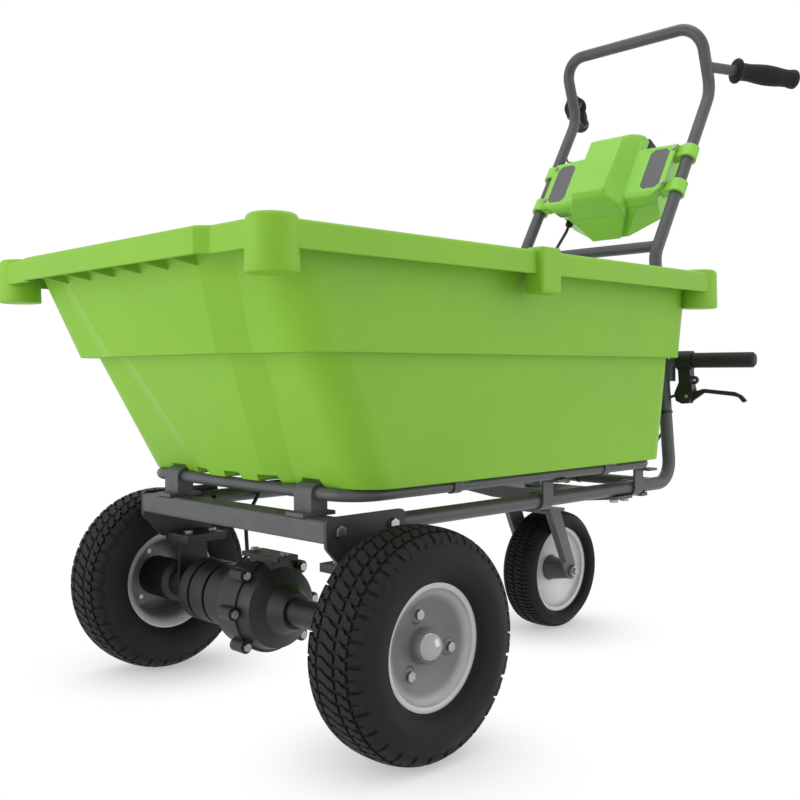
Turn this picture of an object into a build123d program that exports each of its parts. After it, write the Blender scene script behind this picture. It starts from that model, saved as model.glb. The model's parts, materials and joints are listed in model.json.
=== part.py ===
"""Electric garden cart: a tipping tub on a tube chassis with two driven front wheels and one rear caster.

Millimetres, +Z up, front towards -Y, the cart's left towards +X. The origin is on the ground below the
middle of the cart's overall box. Lengths along it are measured back from the front axle, placed by aft().
"""
import math
import os

from build123d import *

# Front wheels
tyre_d = 280.0
tyre_w = 96.0
tyre_wall = 10.0
tread_depth = 7.0
tread_lugs = 24
lug_gap = 11.0
lug_slant = 22.0
rim_d = 128.0
rim_lip_d = 152.0
rim_w = 64.0
rim_wall = 3.5
dish_in = 16.0
wheel_track = 566.0
shaft_d = 20.0
hub_d = 62.0
hub_cap_d = 41.0
hub_cap_len = 30.0
wheel_pads = 3
wheel_pad_turn = 108.0
wheel_pad_pcd = 82.0
pad_h = 4.0

# Rear caster
caster_d = 210.0
caster_w = 70.0
caster_rim_w = 44.0
caster_wall = 7.0
caster_trail = 50.0
axle_to_caster = 637.0
fork_plate = 5.0
fork_gap = 7.0
fork_flange = 12.0
caster_axle_d = 12.0
kingpin_d = 20.0
head_d = 52.0
crown_over_tyre = 5.0
cross_member_len = 100.0
cross_member_lip = 16.0

# Chassis tubes and plates
tube_d = 22.0
tube_wall = 1.8
rail_spacing = 390.0
rail_z = 270.0
rail_front = 13.0
upright_y = 722.0
rail_bend = 42.0
sleeve_joint_z = 560.0
sleeve_len = 80.0
sleeve_wall = 2.5
cross_rail_y = -54.0
cross_rail_depth = 40.0
cross_rail_h = 28.0
cross_rail_wall = 2.5
rear_tube_y = 678.0
rear_tube_d = 18.0
plate = 5.0
hanger_bottom = 217.0
hanger_foot = 42.0
hanger_flange = 56.0

# Handle
hoop_w = 308.0
knee_y = 737.0
knee_z = 667.0
elbow_y = 930.0
elbow_z = 992.0
top_y = 890.0
top_z = 1107.0
knee_bend = 60.0
elbow_bend = 55.0
top_bend = 45.0
handle_bar_z = 684.0
handle_bar_d = 20.0
stub_d = 19.0
grip_root_z = 1035.0
grip_out_angle = 30.0
grip_down_angle = 3.5
grip_start = 60.0
grip_len = 133.0
grip_d = 33.0
throttle_start = 26.0
throttle_len = 17.0
throttle_ring = 12.0

# Lower grip and release lever
lower_grip_z = 480.0
lower_grip_back_angle = 10.0
lower_grip_start = 55.5
lower_grip_len = 106.0
lower_grip_d = 26.0
lower_stub_bend = 14.0
lever_clamp_start = 29.0
lever_pivot_out = 48.0
lever_pivot_drop = 62.0
lever_thick = 7.0
lever_pin_d = 6.0
yoke_w = 22.0
barrel_d = 11.0

# Tub
tub_wall = 4.0
tub_floor_z = 320.0
tub_step_z = 483.0
tub_rim_z = 617.0
tub_skirt = 31.0
tub_corner = 48.0
floor_half_w, floor_back, floor_front, floor_nose, floor_nose_half = 250.0, 622.0, -43.0, -57.0, 66.0
step_half_w, step_back, step_front, step_nose, step_nose_half = 262.0, 630.0, -131.0, -147.0, 118.0
shelf_half_w, shelf_back, shelf_front, shelf_nose, shelf_nose_half = 276.0, 642.0, -153.0, -168.0, 124.0
brim_half_w, brim_back, brim_front, brim_nose, brim_nose_half = 286.0, 648.0, -214.0, -230.0, 168.0
rim_half_w, rim_back, rim_front, rim_nose, rim_nose_half = 320.0, 660.0, -240.0, -252.0, 206.0
nose_strip = 50.0
rim_strip = 14.0
rim_corner = 34.0
boss_d = 54.0
boss_h = 54.0
boss_in = 24.0
side_boss_y = 208.0
side_boss_w = 28.0
side_boss_out = 6.0
rim_ribs = 6
rim_rib_pitch = 62.0
rim_rib_drop = 6.0
rim_round = 6.0
floor_grooves = 5
groove_pitch = 75.0
groove_w = 44.0
groove_h = 9.0

# Tub frame, tipping hinge and latch
ring_d = 16.0
ring_half_w = 228.0
ring_front = -48.0
ring_back = 614.0
ring_corner = 45.0
clip_w = 16.0
clip_t = 2.0
clip_ear = 12.0
clip_y = (130.0, 470.0)
hinge_x = 150.0
hinge_w = 34.0
hinge_wall = 5.0
striker_d = 8.0
striker_w = 36.0
striker_reach = 34.0
latch_pin_d = 8.0
latch_thick = 8.0
latch_cheek = 4.0
latch_drop = 29.0

# Tub rests
rest_y = (356.0, 600.0)
rest_w = 24.0
rest_plate = 4.0

# Drive unit
gear_case_d = 122.0
gear_flange_d = 128.0
gear_case_left = 62.0
gear_case_right = -58.0
gear_bolt_turns = (-45.0, 0.0, 45.0, 135.0, 180.0, 225.0)
motor_d = 92.0
motor_end = -172.0
motor_gland_x = -146.0
gland_len = 10.0
axle_tube_d = 38.0
axle_tube_end = 222.0
strut_x = 190.0
strut_plate = 6.0
strut_w = 46.0
saddle_wall = 7.0
saddle_len = 26.0
torque_pad = (84.0, 38.0, 6.0)

# Control box, measured across the cart, along the handle's legs and out from their plane
box_height_z = 828.0
box_half_w = 138.0
box_top = 54.0
box_fold = -60.0
box_front = 21.0
box_back = -52.0
box_back_half_w = 112.0
box_keel = -98.0
box_keel_half_w = 35.0
box_wall = 3.0
hump_out = 58.0
hump_half_w = 35.0
hump_base_half_w = 58.0
hump_rise = 14.0
lug_offset = 40.0
lug_len = 26.0
lug_wall = 5.0
lug_screw_in = 5.0
box_step = 13.0
panel_in, panel_out, panel_low, panel_high = 86.0, 126.0, -47.0, 43.0
panel_depth = 2.0
battery_w, battery_t, battery_len = 104.0, 42.0, 136.0
battery_top = 102.0
control_x = 88.0
control_n = -22.0
rocker_w, rocker_len, rocker_h = 16.0, 26.0, 5.0
rocker_pin_d = 3.0
rocker_travel = 12.0
button_d = 15.0
button_proud = 4.0
button_travel = 3.0

# Cables
release_cable_d = 5.0
throttle_cable_d = 4.0
throttle_entry_x = -112.0
motor_cable_d = 6.0
tie_w = 4.0
tie_t = 1.2

# Clearances
running = 0.05
slide_gap = 0.5
part_gap = 0.4

# Lengths and places that follow from the sizes above
tube_r = tube_d / 2
ring_r = ring_d / 2
stub_r = stub_d / 2
tyre_r = tyre_d / 2
caster_r = caster_d / 2
shaft_r = shaft_d / 2
motor_gland_turn = math.radians(30)
rim_seat_r = rim_d / 2
rail_x = rail_spacing / 2
hoop_x = hoop_w / 2
wheel_x = wheel_track / 2
axle_z = tyre_r
grip_tilt = math.radians(grip_down_angle)
grip_swing = math.radians(grip_out_angle)
grip_dir = Vector(
    math.cos(grip_tilt) * math.sin(grip_swing),
    math.cos(grip_tilt) * math.cos(grip_swing),
    -math.sin(grip_tilt),
)
grip_root_y = elbow_y + (top_y - elbow_y) * (grip_root_z - elbow_z) / (top_z - elbow_z)
handle_reach = grip_root_y + (grip_start + grip_len) * grip_dir.Y + (grip_d / 2 - 3) * math.sin(grip_swing)
axle_y = -(handle_reach + rim_nose) / 2


def aft(distance):
    """Place along the cart of a point so far behind the front axle."""
    return axle_y + distance


rail_corner = Vector(rail_x, aft(upright_y), rail_z)
knee = Vector(hoop_x, aft(knee_y), knee_z)
elbow = Vector(hoop_x, aft(elbow_y), elbow_z)
top = Vector(hoop_x, aft(top_y), top_z)
leg_dir = (knee - rail_corner).normalized()
arm_dir = (elbow - knee).normalized()
fork_dir = (top - elbow).normalized()
caster_y = aft(axle_to_caster)
kingpin_y = caster_y - caster_trail
hanger_x = rail_x + tube_r
hanger_top = rail_z + 18
rail_bolt_y = aft(rail_front) + 2 * tube_r
cross_rail_top = rail_z + cross_rail_h / 2
ring_z = tub_floor_z - ring_r
hinge_y = aft(ring_front)
axle_point = Vector(0, axle_y, axle_z)
across = Vector(1, 0, 0)


def flip(point):
    """The same point on the cart's right side."""
    return Vector(-point.X, point.Y, point.Z)


def on_leg(z):
    """Point on the left upright's axis at a height."""
    return rail_corner + leg_dir * ((z - rail_z) / leg_dir.Z)


def side_plane(x):
    """Plane across the cart at a place: sketch X runs aft and sketch Y runs up."""
    return Plane(origin=(x, 0, 0), x_dir=(0, 1, 0), z_dir=(1, 0, 0))


def mirrored(piece):
    """The piece's right-hand twin."""
    with BuildPart() as twin:
        mirror(piece, about=Plane.YZ)
    return twin.part


def bent_tube(points, bends, radius, wall=None):
    """A round tube along straight runs joined by tangent bends, hollow when it has a wall."""
    with BuildPart() as tube:
        with BuildLine() as path:
            FilletPolyline(*points, radius=bends)
        with BuildSketch(Plane(origin=path.line @ 0, z_dir=path.line % 0)):
            Circle(radius)
            if wall:
                Circle(radius - wall, mode=Mode.SUBTRACT)
        sweep()
    return tube.part


def rod(start, end, radius, bore=None):
    """A straight round bar or tube between two points."""
    with BuildPart() as bar:
        with BuildSketch(Plane(origin=start, z_dir=end - start)):
            Circle(radius)
            if bore:
                Circle(bore, mode=Mode.SUBTRACT)
        extrude(amount=(end - start).length)
    return bar.part


def bolt(seat, direction, head_r, head_h, shank_r, shank_len):
    """A hexagon bolt whose head sits on a face and whose shank runs back through it."""
    with BuildPart() as screw:
        with BuildSketch(Plane(origin=seat, z_dir=direction)):
            RegularPolygon(head_r, 6)
        extrude(amount=head_h)
        with BuildSketch(Plane(origin=seat, z_dir=direction)):
            Circle(shank_r)
        extrude(amount=-shank_len)
    return screw.part


def tie(tube_at, radius, cable_at, cable_r, direction):
    """A cable tie drawn round a tube and the cable beside it."""
    frame = Plane(origin=tube_at, x_dir=cable_at - tube_at, z_dir=direction)
    apart = (cable_at - tube_at).length
    with BuildPart() as band:
        with BuildSketch(frame):
            for extra, mode in ((tie_t, Mode.ADD), (0, Mode.SUBTRACT)):
                with BuildSketch(mode=Mode.PRIVATE) as loop:
                    with BuildLine():
                        CenterArc((0, 0), radius + extra, 0, 360)
                        CenterArc((apart, 0), cable_r + extra, 0, 360)
                    make_hull()
                add(loop.sketch, mode=mode)
        extrude(amount=tie_w / 2, both=True)
    return band.part


def save(name, *pieces):
    """Labels a finished piece, or a set of like pieces, and writes it out."""
    solid = pieces[0] if len(pieces) == 1 else Compound(children=list(pieces))
    solid.label = name
    export_step(solid, f"parts/{name}.step")


os.makedirs("parts", exist_ok=True)

# Chassis rails: one tube a side from the front hanger to the handle's sleeve, with a slanted front end
sleeve_joint = on_leg(sleeve_joint_z)
rail_tube = bent_tube(
    [Vector(rail_x, aft(rail_front), rail_z), rail_corner, sleeve_joint], [rail_bend], tube_r, tube_wall
)
with BuildPart() as rail_left:
    add(rail_tube)
    slant = Plane(origin=(rail_x, aft(rail_front) + tube_r / 2, rail_z), z_dir=(0, 1, 0.6))
    split(bisect_by=slant, keep=Keep.TOP)
    with Locations((rail_x, rail_bolt_y, rail_z)):
        Cylinder(4, 2 * tube_d, rotation=(0, 90, 0), mode=Mode.SUBTRACT)
save("chassis_rail_left", rail_left.part)
save("chassis_rail_right", mirrored(rail_left.part))

# Front cross rail: a rectangular tube between the hangers
with BuildPart() as cross_rail:
    with BuildSketch(side_plane(-hanger_x)):
        with Locations((aft(cross_rail_y), rail_z)):
            RectangleRounded(cross_rail_depth, cross_rail_h, 4)
            RectangleRounded(
                cross_rail_depth - 2 * cross_rail_wall,
                cross_rail_h - 2 * cross_rail_wall,
                2,
                mode=Mode.SUBTRACT,
            )
    extrude(amount=2 * hanger_x)
save("front_cross_rail", cross_rail.part)

# Axle hangers: bent plates that close the cross rail's ends, hold the rails and carry the drive unit
hanger_front = aft(cross_rail_y) - cross_rail_depth / 2
hanger_back = rail_bolt_y + tube_d
flange_bolt_x = hanger_x - hanger_flange + 20
flange_bolt_y = 20.0
with BuildPart() as hanger_left:
    with BuildSketch(side_plane(hanger_x)):
        with BuildLine():
            Polyline(
                (hanger_front, hanger_top),
                (hanger_back, hanger_top),
                (hanger_back, rail_z - tube_r - plate),
                (axle_y + hanger_foot, hanger_bottom),
                (axle_y - hanger_foot, hanger_bottom),
                (hanger_front, rail_z - cross_rail_h / 2 - plate),
                close=True,
            )
        make_face()
        fillet(vertices(), 8)
        with Locations((rail_bolt_y, rail_z), (aft(cross_rail_y), rail_z)):
            Circle(4, mode=Mode.SUBTRACT)
    extrude(amount=plate)
    with BuildSketch(Plane.XY.offset(hanger_bottom)):
        with Locations((hanger_x + plate / 2 - hanger_flange / 2, axle_y)):
            Rectangle(hanger_flange + plate, 2 * (hanger_foot - 8))
        with Locations((flange_bolt_x, axle_y - flange_bolt_y), (flange_bolt_x, axle_y + flange_bolt_y)):
            Circle(4, mode=Mode.SUBTRACT)
    extrude(amount=plate)
save("axle_hanger_left", hanger_left.part)
save("axle_hanger_right", mirrored(hanger_left.part))

# Rear cross tube, fish-mouthed against the rails
rear_tube_r = rear_tube_d / 2
rear_tube_at = Vector(0, aft(rear_tube_y), rail_z)
with BuildPart() as rear_tube:
    with BuildSketch(Plane(origin=rear_tube_at, z_dir=across)):
        Circle(rear_tube_r)
        Circle(rear_tube_r - tube_wall, mode=Mode.SUBTRACT)
    extrude(amount=rail_x, both=True)
    with Locations((rail_x, aft(rear_tube_y), rail_z), (-rail_x, aft(rear_tube_y), rail_z)):
        Cylinder(tube_r, 4 * tube_d, rotation=(90, 0, 0), mode=Mode.SUBTRACT)
save("rear_cross_tube", rear_tube.part)

# Tub rests: straps that wrap each rail and reach out under the tub frame
rest_out = ring_half_w + ring_r
rest_top = ring_z - ring_r - part_gap
strap_r = tube_r + rest_plate
rests = []
for y in rest_y:
    with BuildPart() as rest:
        with BuildSketch(Plane.XZ.offset(-aft(y) - rest_w / 2)):
            with BuildLine():
                Polyline(
                    (rail_x - strap_r, rail_z),
                    (rail_x - strap_r, rail_z + tube_r),
                    (rail_x - tube_r, rail_z + tube_r),
                    (rail_x - tube_r, rail_z),
                )
                CenterArc((rail_x, rail_z), tube_r, 180, 180)
                Polyline(
                    (rail_x + tube_r, rail_z),
                    (rail_x + tube_r, rest_top),
                    (rest_out, rest_top),
                    (rest_out, rest_top - rest_plate),
                    (rail_x + strap_r, rest_top - rest_plate),
                    (rail_x + strap_r, rail_z),
                )
                CenterArc((rail_x, rail_z), strap_r, 180, 180)
            make_face()
        extrude(amount=rest_w)
    rests += [rest.part, mirrored(rest.part)]
save("tub_rests", *rests)

# Handle hoop: one bent tube from the left sleeve over the top to the right sleeve
hoop = bent_tube(
    [sleeve_joint, knee, elbow, top, flip(top), flip(elbow), flip(knee), flip(sleeve_joint)],
    [knee_bend, elbow_bend, top_bend, top_bend, elbow_bend, knee_bend],
    tube_r,
    tube_wall,
)
save("handle_hoop", hoop)

# Sleeves that join the hoop to the rails
sleeve_r = tube_r + sleeve_wall
sleeve_half = leg_dir * (sleeve_len / 2)
sleeve_out = Vector(leg_dir.Z, 0, -leg_dir.X).normalized()
sleeve_bolt_at = 0.3 * sleeve_len
sleeve_seats = [
    sleeve_joint + leg_dir * along + sleeve_out * sleeve_r for along in (-sleeve_bolt_at, sleeve_bolt_at)
]
sleeve_tube = rod(sleeve_joint - sleeve_half, sleeve_joint + sleeve_half, sleeve_r, tube_r)
sleeve_holes = [rod(seat, seat - sleeve_out * tube_r, 3) for seat in sleeve_seats]
with BuildPart() as sleeve_left:
    add(sleeve_tube)
    add(sleeve_holes, mode=Mode.SUBTRACT)
save("handle_sleeves", sleeve_left.part, mirrored(sleeve_left.part))

# Cross bar between the handle's legs, fish-mouthed against them
bar_at = knee + arm_dir * ((handle_bar_z - knee_z) / arm_dir.Z)
bar_legs = [rod(p - arm_dir * tube_d, p + arm_dir * tube_d, tube_r) for p in (bar_at, flip(bar_at))]
bar_tube = rod(flip(bar_at), bar_at, handle_bar_d / 2, handle_bar_d / 2 - tube_wall)
with BuildPart() as handle_bar:
    add(bar_tube)
    add(bar_legs, mode=Mode.SUBTRACT)
save("handle_cross_bar", handle_bar.part)

# Stub tubes that carry the upper grips
grip_root = Vector(hoop_x, aft(grip_root_y), grip_root_z)
stub_tube = rod(grip_root, grip_root + grip_dir * (grip_start + grip_len - 6), stub_r, stub_r - tube_wall)
hoop_run = rod(grip_root - fork_dir * tube_d, grip_root + fork_dir * tube_d, tube_r)
with BuildPart() as stub_left:
    add(stub_tube)
    add(hoop_run, mode=Mode.SUBTRACT)
save("grip_stubs", stub_left.part, mirrored(stub_left.part))

# Upper grips: waisted rubber sleeves with a flange at the inner end and a closed outer end
grip_r = grip_d / 2
with BuildPart() as grip_left:
    with BuildSketch(
        Plane(origin=grip_root + grip_dir * grip_start, x_dir=grip_dir, z_dir=(grip_dir.Y, -grip_dir.X, 0))
    ):
        with BuildLine():
            Polyline((0, stub_r), (0, grip_r + 5), (3, grip_r + 7), (6, grip_r + 5), (9, grip_r))
            Spline(
                (9, grip_r),
                (grip_len * 0.3, grip_r - 2),
                (grip_len * 0.55, grip_r),
                (grip_len * 0.8, grip_r - 2),
                (grip_len - 8, grip_r),
            )
            Polyline((grip_len - 8, grip_r), (grip_len - 3, grip_r), (grip_len, grip_r - 3), (grip_len, 0))
            Polyline((grip_len, 0), (grip_len - 6, 0), (grip_len - 6, stub_r), (0, stub_r))
        make_face()
    revolve(axis=Axis(grip_root, grip_dir))
save("grip_left", grip_left.part)
save("grip_right", mirrored(grip_left.part))

# Throttle on the right-hand stub: a clamped housing and a thumb lever that turns on the stub
throttle_dir = flip(grip_dir)
throttle_at = flip(grip_root) + throttle_dir * throttle_start
throttle_plane = Plane(origin=throttle_at, x_dir=(0, 0, -1), z_dir=throttle_dir)
with BuildPart() as throttle_housing:
    with BuildSketch(throttle_plane):
        Circle(stub_r + 6)
        with Locations((18, 3)):
            RectangleRounded(28, 24, 6)
        Circle(stub_r, mode=Mode.SUBTRACT)
    extrude(amount=throttle_len)
    fillet(edges().filter_by(GeomType.LINE).group_by(Edge.length)[-1], 1)
save("throttle_housing", throttle_housing.part)
with BuildPart() as throttle_lever:
    with BuildSketch(throttle_plane.offset(throttle_len + part_gap)):
        Circle(stub_r + 4.5)
        with BuildLine():
            Polyline((2, -13), (22, -21), (44, -27), (48, -21), (30, -10), (10, 10), close=True)
        make_face()
        Circle(stub_r + running, mode=Mode.SUBTRACT)
    extrude(amount=throttle_ring)
save("throttle_lever", throttle_lever.part)

# Lower grip: a stub on the left upright and a straight rubber grip
lower_root = on_leg(lower_grip_z)
lower_swing = math.radians(lower_grip_back_angle)
lower_dir = Vector(math.cos(lower_swing), math.sin(lower_swing), 0)
lower_front = Vector(math.sin(lower_swing), -math.cos(lower_swing), 0)
lower_end = lower_grip_start + lower_grip_len
lower_plane = Plane(origin=lower_root, x_dir=lower_dir, z_dir=lower_front)
stub_turn = lower_root + lower_dir * (tube_r + stub_r - 6)
lower_tube = bent_tube(
    [stub_turn - Vector(0, 0, 36), stub_turn, lower_root + lower_dir * (lower_end - 5)],
    [lower_stub_bend],
    stub_r,
    tube_wall,
)
upright_run = rod(lower_root - leg_dir * 90, lower_root + leg_dir * 30, tube_r)
with BuildPart() as lower_stub:
    add(lower_tube)
    add(upright_run, mode=Mode.SUBTRACT)
save("lower_grip_stub", lower_stub.part)
lower_grip_r = lower_grip_d / 2
with BuildPart() as lower_grip:
    with BuildSketch(lower_plane):
        with BuildLine():
            Polyline(
                (lower_grip_start, stub_r),
                (lower_grip_start, lower_grip_r - 1),
                (lower_grip_start + 1, lower_grip_r),
                (lower_end - 4, lower_grip_r),
                (lower_end, lower_grip_r - 4),
                (lower_end, 0),
                (lower_end - 5, 0),
                (lower_end - 5, stub_r),
                close=True,
            )
        make_face()
    revolve(axis=Axis(lower_root, lower_dir))
save("lower_grip", lower_grip.part)

# Release lever: a clamp on the stub with a forked neck, its pin, and the squeeze lever
clamp_end = lower_grip_start - part_gap
clamp_mid = (lever_clamp_start + clamp_end) / 2
pivot = (lever_pivot_out, -lever_pivot_drop)
barrel_back = tube_r + release_cable_d / 2 + part_gap
barrel_at = lower_root - lower_front * barrel_back - Vector(0, 0, lever_pivot_drop)
with BuildPart() as lever_bracket:
    with BuildSketch(Plane(origin=lower_root + lower_dir * lever_clamp_start, z_dir=lower_dir)):
        Circle(stub_r + 7)
        Circle(stub_r, mode=Mode.SUBTRACT)
    extrude(amount=clamp_end - lever_clamp_start)
    with BuildSketch(lower_plane):
        with BuildLine():
            Polyline(
                (clamp_mid - 10, -stub_r - 3),
                (clamp_mid + 11, -stub_r - 3),
                (clamp_mid + 13, -36),
                (pivot[0] + 11, pivot[1] + 8),
                (pivot[0] + 4, pivot[1] - 12),
                (pivot[0] - 8, pivot[1] - 13),
                (lever_clamp_start, pivot[1] - 8),
                (lever_clamp_start - 3, pivot[1] + 5),
                (clamp_mid - 8, -38),
                close=True,
            )
        make_face()
        fillet(vertices().group_by(Axis.Y)[0], 5)
    extrude(amount=yoke_w / 2, both=True)
    with BuildSketch(lower_plane):
        with Locations((clamp_mid + 16, -34)):
            Circle(7)
            Circle(3, mode=Mode.SUBTRACT)
    extrude(amount=4, both=True)
    with BuildSketch(Plane(origin=barrel_at + lower_dir * 20, z_dir=lower_dir)):
        Circle(barrel_d / 2)
    extrude(amount=lever_clamp_start - 8)
    with BuildSketch(lower_plane):
        with Locations(pivot):
            Circle(lever_pin_d / 2)
    extrude(amount=yoke_w, both=True, mode=Mode.SUBTRACT)
    with BuildSketch(lower_plane):
        with Locations((pivot[0] + 20, pivot[1] - 2)):
            Rectangle(64, 30)
    extrude(amount=lever_thick / 2 + slide_gap, both=True, mode=Mode.SUBTRACT)
    add(lower_tube, mode=Mode.SUBTRACT)
save("lever_bracket", lever_bracket.part)
pivot_at = lower_plane.from_local_coords(Vector(pivot[0], pivot[1], 0))
pin_half = lower_front * (yoke_w / 2 + 2)
lever_pin = rod(pivot_at - pin_half, pivot_at + pin_half, lever_pin_d / 2)
with BuildPart() as dump_lever:
    with BuildSketch(lower_plane):
        with BuildLine():
            Polyline(
                (pivot[0] - 7, pivot[1] - 6),
                (pivot[0] - 7, pivot[1] + 6),
                (pivot[0] + 8, pivot[1] + 7),
                (pivot[0] + 26, pivot[1] + 13),
                (pivot[0] + 80, pivot[1] + 8),
                (pivot[0] + 92, pivot[1] + 2),
                (pivot[0] + 100, pivot[1] - 7),
                (pivot[0] + 94, pivot[1] - 10),
                (pivot[0] + 86, pivot[1] - 1),
                (pivot[0] + 78, pivot[1] + 1),
                (pivot[0] + 28, pivot[1] + 6),
                (pivot[0] + 8, pivot[1] - 8),
                close=True,
            )
        make_face()
        fillet(vertices(), 2)
        with Locations(pivot):
            Circle(lever_pin_d / 2 + running, mode=Mode.SUBTRACT)
    extrude(amount=lever_thick / 2, both=True)
save("dump_lever", dump_lever.part)

# Drive unit: gear case and motor on the axle line, its axle tubes held by struts under the hangers
gear_r = gear_case_d / 2
flange_r = gear_flange_d / 2
motor_r = motor_d / 2
axle_plane = Plane(origin=axle_point, x_dir=(1, 0, 0), z_dir=(0, -1, 0))
axle_axis = Axis(axle_point, (1, 0, 0))
bore_r = shaft_r + running
axle_face = Plane(origin=axle_point, x_dir=(0, 1, 0), z_dir=across)
gear_bolt_r = flange_r + 4
torque_pad_x = (gear_case_left + gear_case_right) / 2
torque_pad_top = axle_z + flange_r + torque_pad[2] + 2
torque_bolts = [(torque_pad_x + side * 0.4 * torque_pad[0], axle_y) for side in (1, -1)]
gear_bolt_spokes = [
    Vector(0, math.cos(math.radians(turn)), math.sin(math.radians(turn))) * gear_bolt_r
    for turn in gear_bolt_turns
]
with BuildPart() as gear_case:
    with BuildSketch(axle_plane):
        with BuildLine():
            Polyline(
                (gear_case_right, 0),
                (gear_case_right, motor_r - 4),
                (gear_case_right + 10, gear_r - 8),
                (gear_case_right + 18, gear_r),
                (-8, gear_r),
                (-8, flange_r),
                (8, flange_r),
                (8, gear_r),
                (28, gear_r - 6),
                (40, gear_r - 26),
                (gear_case_left, axle_tube_d / 2 + 5),
                (gear_case_left, 0),
                close=True,
            )
        make_face()
    revolve(axis=axle_axis)
    with BuildSketch(Plane.XY.offset(axle_z)):
        with Locations((torque_pad_x, axle_y)):
            Rectangle(0.6 * torque_pad[0], 0.8 * torque_pad[1])
    extrude(amount=torque_pad_top - axle_z)
    with BuildSketch(Plane.XY.offset(torque_pad_top)):
        with Locations((torque_pad_x, axle_y)):
            RectangleRounded(torque_pad[0], torque_pad[1], 5)
        with Locations(*torque_bolts):
            Circle(3, mode=Mode.SUBTRACT)
    extrude(amount=-torque_pad[2])
    with BuildSketch(axle_face):
        for spoke in gear_bolt_spokes:
            with Locations((spoke.Y, spoke.Z)):
                Circle(9)
    extrude(amount=13, both=True)
    with BuildSketch(axle_face):
        for spoke in gear_bolt_spokes:
            with Locations((spoke.Y, spoke.Z)):
                Circle(3)
    extrude(amount=13, both=True, mode=Mode.SUBTRACT)
    for x in (gear_case_left, gear_case_right):
        with Locations(axle_face.offset(x)):
            Cylinder(bore_r, 70, mode=Mode.SUBTRACT)
save("gear_case", gear_case.part)
gland_out = Vector(0, math.cos(motor_gland_turn), math.sin(motor_gland_turn))
with BuildPart() as motor:
    with BuildSketch(axle_plane):
        with BuildLine():
            Polyline(
                (gear_case_right, bore_r),
                (gear_case_right, motor_r - 4),
                (gear_case_right - 4, motor_r),
                (gear_case_right - 34, motor_r),
                (gear_case_right - 34, motor_r - 5),
                (gear_case_right - 40, motor_r - 5),
                (gear_case_right - 40, motor_r),
                (gear_case_right - 72, motor_r),
                (gear_case_right - 72, motor_r - 5),
                (gear_case_right - 78, motor_r - 5),
                (gear_case_right - 78, motor_r),
                (motor_end + 16, motor_r),
                (motor_end + 4, motor_r - 12),
                (motor_end, motor_r - 22),
                (motor_end, bore_r),
                close=True,
            )
        make_face()
    revolve(axis=axle_axis)
    gland_seat = axle_point + across * motor_gland_x + gland_out * (motor_r - 4)
    with BuildSketch(Plane(origin=gland_seat, z_dir=gland_out)):
        Circle(6)
    extrude(amount=gland_len + 4)
save("motor_housing", motor.part)
axle_tube_left = rod(
    axle_point + across * gear_case_left, axle_point + across * axle_tube_end, axle_tube_d / 2, bore_r
)
axle_tube_right = rod(
    axle_point + across * motor_end, axle_point - across * axle_tube_end, axle_tube_d / 2, bore_r
)
save("axle_tubes", axle_tube_left, axle_tube_right)
saddle_r = axle_tube_d / 2 + saddle_wall
strut_half = strut_w / 2
with BuildPart() as strut_left:
    with BuildSketch(Plane.XY.offset(hanger_bottom)):
        with Locations((hanger_x + plate - (hanger_flange + plate) / 2, axle_y)):
            Rectangle(hanger_flange + plate, 2 * (hanger_foot - 8))
        with Locations((flange_bolt_x, axle_y - flange_bolt_y), (flange_bolt_x, axle_y + flange_bolt_y)):
            Circle(4, mode=Mode.SUBTRACT)
    extrude(amount=-strut_plate)
    with BuildSketch(side_plane(strut_x)):
        with BuildLine():
            Polyline(
                (axle_y - strut_half, hanger_bottom - 2 * strut_plate),
                (axle_y - strut_half, hanger_bottom),
                (axle_y + strut_half, hanger_bottom),
                (axle_y + strut_half, hanger_bottom - 2 * strut_plate),
                close=True,
            )
            CenterArc((axle_y, axle_z), saddle_r, 0, 360)
        make_hull()
    extrude(amount=strut_plate / 2, both=True)
    with BuildSketch(side_plane(strut_x)):
        with Locations((axle_y, axle_z)):
            Circle(saddle_r)
    extrude(amount=saddle_len / 2, both=True)
    with BuildSketch(side_plane(strut_x)):
        with Locations((axle_y, axle_z)):
            Circle(axle_tube_d / 2)
    extrude(amount=saddle_len, both=True, mode=Mode.SUBTRACT)
save("axle_struts", strut_left.part, mirrored(strut_left.part))
down = Vector(0, 0, -1)
up = Vector(0, 0, 1)
drive_bolts = [
    bolt(Vector(x, axle_y + y, hanger_bottom + plate), up, 7, 5, 4, plate + strut_plate)
    for x in (flange_bolt_x, -flange_bolt_x)
    for y in (-flange_bolt_y, flange_bolt_y)
]
drive_bolts += [bolt(Vector(x, y, torque_pad_top), up, 6, 4, 3, torque_pad[2]) for x, y in torque_bolts]
drive_bolts += [bolt(axle_point + spoke + across * 13, across, 6, 4, 3, 26) for spoke in gear_bolt_spokes]


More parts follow.
